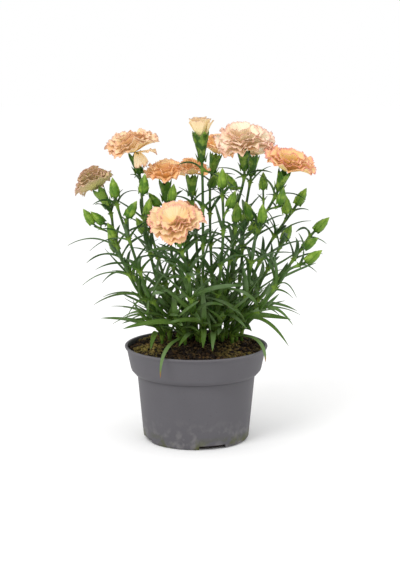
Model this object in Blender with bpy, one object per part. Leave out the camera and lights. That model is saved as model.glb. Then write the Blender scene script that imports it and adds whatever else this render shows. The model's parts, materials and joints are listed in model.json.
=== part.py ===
"""A pot carnation: a double-flowered dianthus plant in its grey nursery pot.

Sizes are in millimetres and become metres where a mesh is made. +Z is up, -Y is the side the plant
is seen from, and the origin is the middle of the pot's flat underside.
"""

import math
import random
from collections import namedtuple

import bmesh
import bpy
import numpy as np

MM = 0.001

# Pot, from the underside up
RIM_RADIUS = 65.0
POT_HEIGHT = 86.0
LIP = 1.2
COLLAR_FOOT_RADIUS = 59.4
COLLAR_FOOT_Z = 64.5
BODY_TOP_RADIUS = 53.7
BODY_TOP_Z = 60.0
BASE_RADIUS = 48.1
WALL = 1.4
POT_SIDES = 30
DRAIN_COUNT = 4
DRAIN_WIDTH = 25.0
DRAIN_HEIGHT = 3.6
DRAIN_FIRST_DEG = -72.0

# Soil
GAP = 0.35
SOIL_EDGE_Z = 81.0
SOIL_HEAP = 4.0
SOIL_RINGS = (0.36, 0.64, 0.84, 1.0)
PEG_FOOT_Z = 70.0
HOLE_SIDES = 5
SHOOT_FOOT_Z = 89.0

# Stems
KNOT_HEIGHT = 3.2
STEM_RADIUS_LOW = 1.6
STEM_RADIUS_HIGH = 1.25

# Leaves: at the foot of a shoot and at its head
LEAF_LONG, LEAF_SHORT = 60.0, 27.0
LEAF_WIDE, LEAF_NARROW = 5.8, 3.2
LEAF_THICK = 1.0
LEAF_STEPS = (0.28, 0.66)
LEAF_TRIES = 34
LEAF_CLEAR = 0.7
FAR = 20.0

# Calyx, buds and petals
CALYX_LENGTH = 17.0
CALYX_RADIUS = 5.4
CALYX_WAIST = 3.6
CALYX_TEETH = 5
OPENING_LENGTH = 24.0
OPENING_RADIUS = 7.0
CUP_DEPTH = 6.0
CUP_WALL = 0.9
BUD_LENGTH = 16.0
BUD_RADIUS = 4.2
PETAL_KEEL = 1.3
PETAL_FILL = 0.88

Bloom = namedtuple("Bloom", "name radius dome")
Side = namedtuple("Side", "share tip axis")
Shoot = namedtuple("Shoot", "name foot via head axis pairs top sides")

UP = np.array([0.0, 0.0, 1.0])

# Each head is the point where a shoot's calyx or last bud begins, and axis is the way it faces.
SHOOTS = [
    Shoot("far_left", (-24, 13), [(-54, -9, 140), (-72, -7, 181)], (-79, -1, 213), (-0.50, 0.30, 0.81), 6,
          Bloom("far_left", 20, 0.7),
          [Side(0.80, (-92, -12, 199), (-0.55, 0, 0.83)),
           Side(0.86, (-83, -11, 199), (-0.72, -0.1, 0.69)),
           Side(0.74, (-73, -13, 186), (-0.35, -0.2, 0.9))]),
    Shoot("thin_left", (-15, 6), [(-41, -23, 134), (-58, -23, 182)], (-71, -23, 224), (-0.15, 0, 1), 6,
          "bud",
          [Side(0.80, (-60, -27, 207), (0.5, -0.2, 0.84))]),
    Shoot("left", (-11, 17), [(-33, -1, 137), (-47, 0, 202)], (-51, 0, 243), (-0.22, -0.10, 0.97), 6,
          Bloom("left", 26, 0.55),
          [Side(0.86, (-47, -13, 226), (0.1, -0.1, 0.98)),
           Side(0.72, (-44, -7, 207), (0.2, -0.2, 0.95))]),
    Shoot("mid_left", (-5, 26), [(-18, 11, 137), (-25, 9, 195)], (-27, 9, 217), (-0.05, -0.16, 0.98), 6,
          Bloom("mid_left", 20, 0.55),
          [Side(0.80, (-34, 1, 213), (-0.6, -0.1, 0.8)),
           Side(0.84, (-22, -5, 219), (0.15, -0.15, 0.97))]),
    Shoot("front", (1, 7), [(-4, -38, 130), (-7, -56, 162)], (-14, -67, 188), (-0.14, -0.50, 0.85), 6,
          Bloom("front", 27, 0.4), []),
    Shoot("top_bud", (4, 15), [(6, -5, 145), (6, -5, 205)], (5, -5, 254), (-0.05, 0, 1), 6,
          "opening bud", []),
    Shoot("back_top", (7, 32), [(3, 33, 135), (-1, 36, 190)], (-4, 42, 218), (0.0, 0.1, 0.99), 5,
          Bloom("back_top", 17, 0.6), []),
    Shoot("back_high", (17, 32), [(15, 44, 135), (13, 62, 195)], (15, 68, 236), (0.2, 0.0, 0.98), 6,
          Bloom("back_high", 19, 0.6),
          [Side(0.85, (14, 55, 225), (0.45, -0.3, 0.84))]),
    Shoot("mid_bud", (13, 10), [(20, -20, 142), (24, -22, 195)], (23, -21, 232), (0.0, 0, 1), 6,
          "bud",
          [Side(0.82, (29, -24, 215), (0.35, -0.1, 0.93))]),
    Shoot("top_right", (19, 24), [(31, 14, 141), (35, 10, 202)], (43, -1, 246), (-0.06, -0.26, 0.96), 6,
          Bloom("top_right", 26, 0.75),
          [Side(0.88, (34, 6, 228), (-0.45, -0.2, 0.87))]),
    Shoot("top_right_back", (28, 27), [(40, 31, 137), (45, 38, 200)], (51, 50, 236), (0.12, 0.24, 0.96), 6,
          Bloom("top_right_back", 19, 0.75), []),
    Shoot("right", (24, 11), [(43, -13, 128), (55, -10, 193)], (73, -10, 229), (0.28, -0.28, 0.92), 6,
          Bloom("right", 23.5, 0.5),
          [Side(0.80, (60, 3, 228), (0.0, 0, 1)),
           Side(0.86, (74, -18, 217), (0.2, -0.1, 0.97)),
           Side(0.66, (58, -23, 202), (0.02, -0.2, 0.98)),
           Side(0.68, (49, -2, 201), (-0.3, 0.1, 0.95))]),
    Shoot("right_buds", (32, 19), [(47, 12, 136), (68, 20, 177)], (92, 22, 212), (0.5, 0, 0.86), 6,
          "bud",
          [Side(0.80, (82, 14, 205), (-0.1, -0.1, 0.99))]),
    Shoot("far_right", (37, 14), [(58, 0, 129), (82, 1, 156)], (108, 6, 190), (0.72, 0, 0.70), 6,
          "bud",
          [Side(0.74, (97, -5, 176), (0.8, -0.1, 0.59))]),
    Shoot("low_right", (33, 6), [(59, -31, 128), (80, -33, 159)], (97, -35, 168), (0.80, 0, 0.60), 5,
          "bud", []),
    Shoot("inner", (22, 16), [(28, -1, 150)], (36, -4, 200), (0.05, 0, 1), 5,
          "bud", []),
    Shoot("back_left", (-16, 30), [(-30, 40, 140)], (-44, 60, 188), (-0.2, 0.2, 0.96), 5,
          "bud", [Side(0.80, (-48, 50, 182), (-0.5, -0.1, 0.86))]),
    Shoot("back_mid", (-3, 38), [(-6, 56, 135)], (-10, 78, 172), (-0.05, 0.45, 0.89), 5,
          Bloom("back_mid", 20, 0.6), []),
    Shoot("back_right", (21, 39), [(32, 56, 135)], (46, 78, 186), (0.15, 0.25, 0.96), 5,
          "bud", [Side(0.80, (52, 68, 180), (0.5, 0.1, 0.86))]),
    Shoot("back_far_right", (36, 32), [(56, 34, 130)], (82, 54, 174), (0.45, 0.2, 0.87), 5,
          "bud", []),
    Shoot("back_far_left", (-25, 23), [(-47, 24, 126)], (-74, 44, 166), (-0.5, 0.2, 0.84), 5,
          "bud", []),
    Shoot("low_front_left", (-10, 0), [], (-20, -24, 120), (-0.35, -0.35, 0.87), 4, "tuft", []),
    Shoot("low_front_right", (16, 2), [], (28, -24, 122), (0.4, -0.4, 0.83), 4, "tuft", []),
    Shoot("low_front", (4, -1), [], (8, -29, 116), (0.1, -0.45, 0.87), 4, "tuft", []),
    Shoot("low_right_back", (42, 22), [], (57, 24, 118), (0.6, 0.1, 0.77), 4, "tuft", []),
    Shoot("low_left_back", (-30, 32), [], (-46, 38, 118), (-0.5, 0.3, 0.8), 4, "tuft", []),
    Shoot("low_left", (-31, 5), [], (-47, -9, 114), (-0.65, -0.2, 0.73), 3, "tuft", []),
    Shoot("low_back", (8, 47), [], (12, 61, 124), (0.1, 0.5, 0.86), 4, "tuft", []),
]


# Leaves that lean out furthest: the knot they grow from, counted from the foot, their tip, how far
# their middle stands above a straight line, their width, and where on the way they bend.
Reach = namedtuple("Reach", "knot tip rise width bend", defaults=[0.5])
REACHES = {
    "far_left": [Reach(4, (-115, -8, 178), 7, 3.0), Reach(3, (-102, -14, 143), 7, 3.2),
                 Reach(2, (-84, -6, 131), 5, 3.4), Reach(1, (-75, -14, 108), 5, 4.4)],
    "thin_left": [Reach(4, (-94, -26, 176), 6, 2.6), Reach(2, (-61, -34, 119), 8, 3.4),
                  Reach(1, (-62, -32, 113), 6, 3.6)],
    "back_far_left": [Reach(4, (-102, 36, 155), 6, 4.0), Reach(3, (-88, 44, 135), 8, 3.6)],
    "right_buds": [Reach(5, (103, 24, 206), 2, 2.4), Reach(4, (105, 18, 197), 4, 2.8),
                   Reach(3, (100, 12, 179), 6, 5.6)],
    "far_right": [Reach(5, (117, -4, 179), 2, 2.6), Reach(2, (88, 4, 128), 9, 3.2),
                  Reach(1, (76, -4, 113), 9, 3.4)],
    "low_right": [Reach(4, (105, -44, 160), 3, 2.4), Reach(3, (88, -42, 137), 9, 2.6),
                  Reach(2, (86, -33, 110), 9, 3.2), Reach(1, (82, -36, 92), 12, 3.8),
                  Reach(0, (61, -46, 80), 11, 4.4, 1.0)],
    "low_front_left": [Reach(0, (-31, -71, 72), 11, 4.4, 1.0)],
    "mid_bud": [Reach(1, (45, -40, 108), 7, 5.0), Reach(4, (16, -17, 222), -2, 4.4)],
    "front": [Reach(0, (29, -46, 111), 6, 4.4), Reach(2, (24, -47, 131), 5, 3.4)],
    "top_bud": [Reach(1, (13, -33, 104), 8, 4.0), Reach(5, (43, -12, 222), 4, 2.8)],
    "back_top": [Reach(2, (15, 30, 188), -3, 7.0)],
    "top_right": [Reach(4, (46, 6, 224), -2, 4.4)],
    "top_right_back": [Reach(5, (68, 26, 246), 3, 2.0)],
}


def unit(v):
    v = np.asarray(v, float)
    return v / np.linalg.norm(v)


def turned(v, axis, angle):
    """v turned about a unit axis."""
    return (v * math.cos(angle) + np.cross(axis, v) * math.sin(angle)
            + axis * np.dot(axis, v) * (1 - math.cos(angle)))


class Line:
    """A smooth line through points, read by its share from 0 to 1."""

    def __init__(self, points, start, end, steps=12):
        points = np.array(points, float)
        gaps = np.linalg.norm(np.diff(points, axis=0), axis=1)
        slopes = np.empty_like(points)
        slopes[1:-1] = (points[2:] - points[:-2]) / (gaps[1:] + gaps[:-1])[:, None]
        slopes[0], slopes[-1] = unit(start), unit(end)
        t = np.linspace(0, 1, steps + 1)[:, None]
        rows = [points[:1]]
        for a, b, m, n, gap in zip(points, points[1:], slopes, slopes[1:], gaps):
            curve = ((2 * t**3 - 3 * t**2 + 1) * a + (t**3 - 2 * t**2 + t) * m * gap
                     + (3 * t**2 - 2 * t**3) * b + (t**3 - t**2) * n * gap)
            rows.append(curve[1:])
        self.points = np.concatenate(rows)
        lengths = np.linalg.norm(np.diff(self.points, axis=0), axis=1)
        self.along = np.concatenate([[0], np.cumsum(lengths)])
        self.length = self.along[-1]

    def at(self, share):
        s = share * self.length
        return np.array([np.interp(s, self.along, self.points[:, k]) for k in range(3)])

    def way(self, share):
        step = 0.01
        return unit(self.at(min(1, share + step)) - self.at(max(0, share - step)))


class Room:
    """The balls that stand for what is already placed, each with its shoot and whether it is a leaf's."""

    def __init__(self):
        self.centres, self.radii = np.empty((0, 3)), np.empty(0)
        self.owners, self.leafy = np.empty(0, int), np.empty(0, bool)

    def add(self, centres, radii, owner, leafy=False):
        self.centres = np.vstack([self.centres, centres])
        self.radii = np.append(self.radii, radii)
        self.owners = np.append(self.owners, np.full(len(centres), owner))
        self.leafy = np.append(self.leafy, np.full(len(centres), leafy))

    def free(self, centres, radii, others, clear):
        """True if the balls miss every placed ball in others, a mask of the balls."""
        low, high = centres.min(axis=0) - FAR, centres.max(axis=0) + FAR
        near = others & (self.centres > low).all(axis=1) & (self.centres < high).all(axis=1)
        apart = np.linalg.norm(centres[:, None] - self.centres[None, near], axis=2)
        return not (apart < radii[:, None] + self.radii[None, near] + clear).any()


def pot_is_clear(points):
    """True if no point comes within a leaf's thickness of the soil or of the pot."""
    reach = np.hypot(points[:, 0], points[:, 1])
    over = points[:, 2] > np.where(reach < RIM_RADIUS - 8, SHOOT_FOOT_Z - 1.5, POT_HEIGHT + 3)
    return bool((over | (reach > RIM_RADIUS + 3)).all() and (points[:, 2] > 4).all())


class Leaf:
    """A narrow blade along a line of points: its width, its left edge's way and its twist."""

    def __init__(self, points, side, width, twist=0.0):
        self.points, self.side, self.width, self.twist = points, side, width, twist
        self.u = np.linspace(0, 1, len(points))
        ways = np.gradient(points, axis=0)
        self.ways = ways / np.linalg.norm(ways, axis=1)[:, None]

    def at(self, share):
        """(point, direction of the left edge, direction of the upper side) at that share of the length."""
        point = np.array([np.interp(share, self.u, self.points[:, k]) for k in range(3)])
        way = unit([np.interp(share, self.u, self.ways[:, k]) for k in range(3)])
        side = unit(self.side - way * np.dot(self.side, way))
        side = turned(side, way, self.twist * share)
        return point, side, np.cross(way, side)

    def section(self, share):
        """The left edge, the right edge and the keel there."""
        point, side, above = self.at(share)
        half = self.half_width(share)
        return [point + side * half, point - side * half, point - above * LEAF_THICK]

    def half_width(self, share):
        """Narrow at the sheath, widest at a third, and pointed."""
        swell = min(1.0, 0.5 + 2.2 * share)
        return self.width / 2 * swell * (1 - share ** 3) ** 0.9

    def balls(self, first):
        """Balls along the blade as it is meshed, straight between its sections."""
        shares = np.linspace(first, 1, 17)
        ends = (0.0, *LEAF_STEPS, 1.0)
        corners = np.array([self.at(share)[0] for share in ends])
        centres = np.array([np.interp(shares, ends, corners[:, k]) for k in range(3)]).T
        return centres, np.array([self.half_width(share) * 0.9 + 0.25 for share in shares])


def arch(base, start, end, length, steps=24):
    """Points of a line that sets out along start and bends round to end."""
    lean = (np.linspace(0, 1, steps + 1) ** 0.75)[:, None]
    ways = unit(start) * (1 - lean) + unit(end) * lean
    ways /= np.linalg.norm(ways, axis=1)[:, None]
    strides = (ways[1:] + ways[:-1]) / 2 * length / steps
    return base + np.vstack([np.zeros(3), np.cumsum(strides, axis=0)])


def reach_line(base, tip, rise, bend, steps=24):
    """Points from base to tip, raised at the bend."""
    u = np.linspace(0, 1, steps + 1)[:, None]
    middle = (base + tip) / 2 + (tip - base) * (1, 1, 0) * (bend - 0.5) + UP * 2 * rise
    return (1 - u) ** 2 * base + 2 * u * (1 - u) * middle + u * u * tip


def head_balls(point, axis, top):
    """Balls that fill a bud or a bloom standing on a calyx."""
    axis = unit(axis)
    if top == "bud":
        return ([point + axis * BUD_LENGTH * k for k in (0.3, 0.7)], [BUD_RADIUS + 0.4, BUD_RADIUS])
    if top == "opening bud":
        return ([point + axis * k for k in (5, 11, 18, 26)], [5, 6, 8, 10])
    across = unit(np.cross(axis, (0.3, 1, 0.2)))
    rim = point + axis * (CALYX_LENGTH + 5)
    centres = [point + axis * 6, point + axis * 12, rim + axis * top.radius * 0.35]
    radii = [5, 6, top.radius * 0.55]
    for k in range(10):
        out = turned(across, axis, k * math.tau / 10)
        centres.append(rim + out * top.radius * 0.72 + axis * 2)
        radii.append(top.radius * 0.36)
    return centres, radii


def lines_of(shoot):
    """The shoot's main line and those of its side stalks."""
    foot = np.array([*shoot.foot, SHOOT_FOOT_Z])
    main = Line([foot, *shoot.via, shoot.head], UP, shoot.axis)
    sides = []
    for side in shoot.sides:
        start, way = main.at(side.share), main.way(side.share)
        sides.append(Line([start, side.tip], way + unit(side.tip - start), side.axis, 8))
    return main, sides


def knot_shares(shoot, main):
    """Where the leaf pairs stand: crowded at the foot, wide apart above, none beside the calyx."""
    last = 1 - 9 / main.length
    steps = [k / max(1, shoot.pairs - 1) for k in range(shoot.pairs)]
    first = 2.6 / main.length
    return [first + (last - first) * s ** 1.12 for s in steps]


def arching_leaf(main, share, turn, rng, slack):
    """One try at a leaf. slack grows from 0 to 1 with the tries, and lets it stray further."""
    base, way = main.at(share), main.way(share)
    height = min(1.0, (base[2] - SHOOT_FOOT_Z) / 140)
    turn += rng.uniform(-1, 1) * (0.2 + 0.5 * slack)
    out = np.array([math.cos(turn), math.sin(turn), 0.0])
    out = unit(out - way * np.dot(out, way) * 0.6)
    opening = math.radians(rng.uniform(20, 42))
    start = unit(way * math.cos(opening) + out * math.sin(opening))
    droop = math.radians(rng.uniform(-38, 48 - 22 * height) + 30 * slack * rng.uniform(-0.5, 1))
    flat = unit([out[0], out[1], 0.0])
    end = unit(flat * math.cos(droop) + UP * math.sin(droop))
    size = rng.uniform(0.86, 1.12) * (1 - 0.35 * slack)
    length = (LEAF_LONG + (LEAF_SHORT - LEAF_LONG) * height ** 0.8) * size
    width = LEAF_WIDE + (LEAF_NARROW - LEAF_WIDE) * height ** 0.7
    points = arch(base, start, end, length)
    return Leaf(points, unit(np.cross(way, out)), width, rng.uniform(-0.9, 0.9)), turn


def reaching_leaf(main, share, reach, rng, slack):
    """One try at a leaf with a given tip, which may stray by a few millimetres."""
    base, way = main.at(share), main.way(share)
    stray = np.array([rng.uniform(-2, 2), rng.uniform(-14, 14), rng.uniform(-2, 3)])
    tip = np.array(reach.tip, float) + slack * stray
    out = unit([tip[0] - base[0], tip[1] - base[1], 0.0])
    points = reach_line(base, tip, reach.rise, reach.bend)
    return Leaf(points, unit(np.cross(way, out)), reach.width, 0.3), math.atan2(out[1], out[0])


def first_turn(shoot):
    """The way the lowest leaf pair faces. Each pair above stands at right angles to the last."""
    return random.Random(shoot.name).uniform(0, math.pi)


def place(room, owner, make, seed):
    """Adds a leaf that keeps clear of all else: the first of several tries that does, or None."""
    rng = random.Random(seed)
    for attempt in range(LEAF_TRIES):
        leaf, turn = make(rng, attempt / (LEAF_TRIES - 1))
        balls = leaf.balls(0.1)
        own = room.owners == owner
        if (pot_is_clear(leaf.points) and room.free(*balls, ~own, LEAF_CLEAR)
                and room.free(*leaf.balls(0.34), own, 0.2)
                and room.free(*leaf.balls(0.2), own & room.leafy, 0.2)):
            room.add(*balls, owner, True)
            return leaf, turn
    return None


def plan():
    """For each shoot its lines and its leaves by knot, bent clear of every other shoot."""
    room, planned = Room(), []
    for owner, shoot in enumerate(SHOOTS):
        main, sides = lines_of(shoot)
        for line in (main, *sides):
            shares = np.linspace(0, 1, max(3, int(line.length / 3)))
            room.add([line.at(s) for s in shares], np.full(len(shares), STEM_RADIUS_LOW), owner)
        if shoot.top != "tuft":
            room.add(*head_balls(main.at(1), shoot.axis, shoot.top), owner)
        for side, line in zip(shoot.sides, sides):
            room.add(*head_balls(line.at(1), side.axis, "bud"), owner)
        planned.append((shoot, main, sides, {}))
    for owner, (shoot, main, _, leaves) in enumerate(planned):
        shares = knot_shares(shoot, main)
        for reach in REACHES.get(shoot.name, []):
            share = shares[reach.knot]
            placed = place(room, owner, lambda rng, slack: reaching_leaf(main, share, reach, rng, slack),
                           f"{shoot.name} reach {reach.knot}")
            if placed:
                leaves[reach.knot] = [placed]
    for owner, (shoot, main, _, leaves) in enumerate(planned):
        for number, share in enumerate(knot_shares(shoot, main)):
            pair = leaves.setdefault(number, [])
            turn = pair[0][1] + math.pi if pair else first_turn(shoot) + math.pi / 2 * (number % 2)
            for half in range(len(pair), 2):
                placed = place(room, owner, lambda rng, slack: arching_leaf(main, share, turn, rng, slack),
                               f"{shoot.name} {number} {half}")
                turn += math.pi
                if placed:
                    pair.append(placed)
    return planned


def mesh_object(name, points, faces, material=None):
    """An object from points in millimetres."""
    mesh = bpy.data.meshes.new(name)
    mesh.from_pydata([tuple(np.asarray(p) * MM) for p in points], [], faces)
    mesh.update()
    obj = bpy.data.objects.new(name, mesh)
    bpy.context.scene.collection.objects.link(obj)
    if material:
        mesh.materials.append(material)
    return obj


def material(name, colour, roughness):
    made = bpy.data.materials.new(name)
    made.use_nodes = True
    shader = made.node_tree.nodes["Principled BSDF"]
    shader.inputs["Base Color"].default_value = (*colour, 1)
    shader.inputs["Roughness"].default_value = roughness
    shader.inputs["Metallic"].default_value = 0
    made.diffuse_color = (*colour, 1)
    return made


def turned_solid(profile, sides, phase=0.0):
    """Points and faces of a closed profile of (radius, z) turned about Z. A radius of 0 is one point."""
    points, rings = [], []
    for radius, z in profile:
        if radius == 0:
            rings.append([len(points)] * sides)
            points.append((0, 0, z))
            continue
        rings.append(list(range(len(points), len(points) + sides)))
        for k in range(sides):
            a = math.tau * k / sides + phase
            points.append((radius * math.cos(a), radius * math.sin(a), z))
    faces = []
    for low, high in zip(rings, rings[1:]):
        for k in range(sides):
            n = (k + 1) % sides
            quad = (low[k], low[n], high[n], high[k])
            corners = tuple(dict.fromkeys(quad))
            if len(corners) > 2:
                faces.append(corners)
    return points, faces


def frame_of(axis, spin=0.0):
    """Three unit vectors with the last along axis."""
    z = unit(axis)
    x = unit(np.cross((0.37, 0.85, 0.21), z))
    x = turned(x, z, spin)
    return np.array([x, np.cross(z, x), z])


def stood(points, origin, frame):
    return [origin + np.asarray(p) @ frame for p in points]


def tube(stations, sides):
    """A closed tube through stations of (point, direction, radius)."""
    points, faces = [], []
    side = unit(np.cross(stations[0][1], (0.2, 1, 0.1)))
    for centre, way, radius in stations:
        side = unit(side - way * np.dot(side, way))
        other = np.cross(way, side)
        for k in range(sides):
            a = math.tau * k / sides
            points.append(centre + radius * (math.cos(a) * side + math.sin(a) * other))
    for r in range(len(stations) - 1):
        for k in range(sides):
            n = (k + 1) % sides
            faces.append((r * sides + k, r * sides + n, (r + 1) * sides + n, (r + 1) * sides + k))
    faces.append(tuple(reversed(range(sides))))
    last = (len(stations) - 1) * sides
    faces.append(tuple(range(last, last + sides)))
    return points, faces


def blade(points, faces, root, leaf, steps=LEAF_STEPS):
    """Grows a leaf from a four-cornered root: a flat upper side, a keel below it, and a point."""
    d0, d1, a0, a1 = root
    rows = []
    for share in steps:
        rows.append(list(range(len(points), len(points) + 3)))
        points += leaf.section(share)
    tip = len(points)
    points.append(leaf.at(1)[0])
    left, right, keel = rows[0]
    faces += [(a0, right, left), (a0, left, a1), (d0, keel, right), (d0, right, a0),
              (d1, left, keel), (d1, a1, left), (d0, d1, keel)]
    for low, high in zip(rows, rows[1:]):
        for k in range(3):
            n = (k + 1) % 3
            faces += [(low[k], low[n], high[n]), (low[k], high[n], high[k])]
    last = rows[-1]
    for k in range(3):
        faces.append((last[k], last[(k + 1) % 3], tip))


def leafy_stem(shoot, main, leaves):
    """The main stem on four sides, with its leaves grown from the sides at each knot."""
    points, faces = [], []
    x, y = shoot.foot
    facing = first_turn(shoot)

    def ring(centre, way, radius):
        """Four corners, with the first side's middle facing the way given by facing."""
        out = np.array([math.cos(facing), math.sin(facing), 0.0])
        out = unit(out - way * np.dot(way, out))
        across = np.cross(way, out)
        start = len(points)
        for k in range(4):
            a = math.radians(90 * k - 45)
            points.append(centre + radius * (math.cos(a) * out + math.sin(a) * across))
        return [start, start + 1, start + 2, start + 3]

    def rise(low, high, busy=()):
        for k in range(4):
            n = (k + 1) % 4
            if k not in busy:
                faces.extend([(low[k], low[n], high[n]), (low[k], high[n], high[k])])

    below = ring(np.array([x, y, PEG_FOOT_Z]), UP, STEM_RADIUS_LOW)
    faces.append(tuple(reversed(below)))
    knot = KNOT_HEIGHT / main.length / 2
    quarter = math.pi / 2
    for number, share in enumerate(knot_shares(shoot, main)):
        radius = STEM_RADIUS_LOW + (STEM_RADIUS_HIGH - STEM_RADIUS_LOW) * share
        if leaves[number]:
            facing += (leaves[number][0][1] - facing + quarter / 2) % quarter - quarter / 2
        way = main.way(share) if number else UP
        low, high = [ring(main.at(s), way, radius) for s in (share - knot, share + knot)]
        rise(below, low)
        busy = []
        for leaf, turn in leaves[number]:
            side = round((turn - facing) / quarter) % 4
            if side not in busy:
                busy.append(side)
                n = (side + 1) % 4
                blade(points, faces, (low[side], low[n], high[side], high[n]), leaf)
        rise(low, high, busy)
        below = high
    top = ring(main.at(1), main.way(1), STEM_RADIUS_HIGH)
    rise(below, top)
    faces.append(tuple(top))
    return points, faces


def scale_solid(leaf):
    """A short pointed scale, rooted inside what it grows from."""
    points, faces = leaf.section(0.0) + leaf.section(0.5), []
    points.append(leaf.at(1)[0])
    for k in range(3):
        n = (k + 1) % 3
        faces += [(k, n, 3 + n), (k, 3 + n, 3 + k), (3 + k, 3 + n, 6)]
    faces.append((2, 1, 0))
    return points, faces


def bud_solid(base, axis, size=1.0):
    """A closed green bud, fat below its middle and drawn to a point."""
    r, length = BUD_RADIUS * size, BUD_LENGTH * size
    profile = [(0, -2.0), (r, length * 0.32), (r * 0.68, length * 0.74), (0, length)]
    points, faces = turned_solid(profile, 5)
    return stood(points, base, frame_of(axis)), faces


def calyx_solid(base, axis, length=CALYX_LENGTH, radius=CALYX_RADIUS):
    """A green tube with five teeth and an open cup that holds the petals."""
    sides = 2 * CALYX_TEETH
    cup = radius - CUP_WALL
    profile = [(0, -2.0), (CALYX_WAIST, length * 0.25), (radius, length),
               (cup, length), (cup * 0.86, length - CUP_DEPTH), (0, length - CUP_DEPTH)]
    points, faces = turned_solid(profile, sides)
    shaped = []
    for x, y, z in points:
        tooth = round(math.atan2(y, x) / (math.tau / sides)) % 2 == 0
        shaped.append((x, y, z + (1.4 if tooth else -1.4) if abs(z - length) < 0.01 else z))
    return stood(shaped, base, frame_of(axis)), faces


def scale_leaf(base, axis, turn, length, width):
    """A short scale at the foot of a calyx, close against it."""
    out, side, up = frame_of(axis, turn)
    start = base + up * 0.4 + out * 0.6
    return Leaf(arch(start, up + out * 0.75, up + out * 0.35, length), side, width)


# A bloom's layer of petals in the bloom's own frame, whose Z is its axis with 0 at the calyx's rim.
# Its petals leave the column at root, and arch by bend out to reach: each is a (radius, z).
Layer = namedtuple("Layer", "count root bend reach wave")


def layers_of(bloom):
    """The layers of a double bloom, from the lowest up."""
    r, h = bloom.radius, bloom.radius * bloom.dome
    wave = 0.09 * h
    count = 6 if r >= 20 else 5
    return [
        Layer(count, (2.6, 2.2), (0.45 * r, 2.5 + 0.10 * h), (1.00 * r, 3.0 + 0.05 * h), wave),
        Layer(count, (2.4, 4.4), (0.38 * r, 5.5 + 0.35 * h), (0.95 * r, 4.5 + 0.40 * h), wave),
        Layer(count, (2.1, 6.6), (0.26 * r, 7.0 + 0.60 * h), (0.76 * r, 5.5 + 0.75 * h), wave),
        Layer(4, (1.6, 8.8), (0.12 * r, 9.0 + 0.70 * h), (0.45 * r, 6.5 + 1.00 * h), 0.4 * wave),
    ]


OPENING_LAYERS = [
    Layer(6, (4.4, 2.4), (6.2, 6.4), (11.0, 12.0), 0.6),
    Layer(4, (3.6, 4.8), (4.0, 8.8), (7.4, 14.4), 0.5),
]


def petal_point(layer, turn, u, v, stray):
    """A point of a petal's upper side: u runs outwards from 0 to 1 and v across from -1 to 1.

    Neighbours lie over and under each other by turns, so their edges may pass.
    """
    (r0, z0), (r1, z1), (r2, z2) = layer.root, layer.bend, layer.reach
    size, roll, over = stray
    r2 *= 1 + 0.05 * size
    radius = (1 - u) ** 2 * r0 + 2 * u * (1 - u) * r1 + u * u * r2
    z = (1 - u) ** 2 * z0 + 2 * u * (1 - u) * z1 + u * u * z2
    lift = layer.wave * (math.cos(math.tau * v + 0.5 * roll) + 0.9 * over) * u * u
    lean = unit([r2 - r1, z2 - z1])
    radius = radius * (1 - 0.10 * u * v * v) - lean[1] * lift
    z += lean[0] * lift
    turn += v * (PETAL_FILL + 0.08 * u * u) * math.pi / layer.count
    return np.array([radius * math.cos(turn), radius * math.sin(turn), z])


class Rosette:
    """A closed column that grows upwards ring by ring, with petals on its sides."""

    def __init__(self):
        self.points, self.faces, self.top, self.phase = [], [], None, 0.0

    def ring(self, radius, z, sides, phase):
        start = len(self.points)
        for k in range(sides):
            a = phase + math.tau * k / sides
            self.points.append((radius * math.cos(a), radius * math.sin(a), z))
        return list(range(start, start + sides))

    def rise(self, radius, z, sides, phase):
        """The next ring. Its sides needn't match the last one's, but phase is under a side away."""
        ring = self.ring(radius, z, sides, phase)
        if self.top is None:
            self.faces.append(tuple(reversed(ring)))
        else:
            low, n, i, j = self.top, len(self.top), 0, 0
            while i < n or j < sides:
                next_low = self.phase + math.tau * (i + 1) / n
                next_high = phase + math.tau * (j + 1) / sides
                if j == sides or (i < n and next_low <= next_high):
                    self.faces.append((low[i], low[(i + 1) % n], ring[j % sides]))
                    i += 1
                else:
                    self.faces.append((low[i % n], ring[(j + 1) % sides], ring[j]))
                    j += 1
        self.top, self.phase = ring, phase

    def petals(self, layer, phase, rng):
        """A ring of petals: each has a fan of a fringe above and a keel below."""
        (radius, z), count = layer.root, layer.count
        self.rise(radius, z, count, phase)
        low, high = self.top, self.ring(radius * 0.9, z + 1.1, count, phase)
        for k in range(count):
            stray = (rng.uniform(-1, 1), rng.uniform(-1, 1), 1 - 2 * (k % 2))
            turn = phase + math.tau * (k + 0.5) / count
            n = (k + 1) % count
            self.petal(layer, turn, stray, (low[k], low[n], high[k], high[n]))
        self.top = high

    def petal(self, layer, turn, stray, root):
        d0, d1, a0, a1 = root
        first = len(self.points)
        sheet = [petal_point(layer, turn, 0.5, v, stray) for v in (-1, 0, 1)]
        across = np.cross(sheet[2] - sheet[0], sheet[1])
        below = unit(across) * (1 if across[2] < 0 else -1)
        sheet.append(sheet[1] + below * PETAL_KEEL)
        for k in range(5):
            sheet.append(petal_point(layer, turn, 0.94 if k % 2 else 1.0, k / 2 - 1, stray))
        self.points += [tuple(p) for p in sheet]
        b0, m, b1, keel, *fringe = range(first, first + 9)
        edge = [b0, *fringe, b1]
        self.faces += [(a0, b0, m), (a0, m, a1), (a1, m, b1), (d0, d1, keel), (d0, keel, b0), (d1, b1, keel),
                       (d0, b0, a0), (d1, a1, b1)]
        for p, q in zip(edge, edge[1:]):
            self.faces += [(m, p, q), (keel, q, p)]

    def close(self):
        self.faces.append(tuple(self.top))
        return self.points, self.faces


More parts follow.
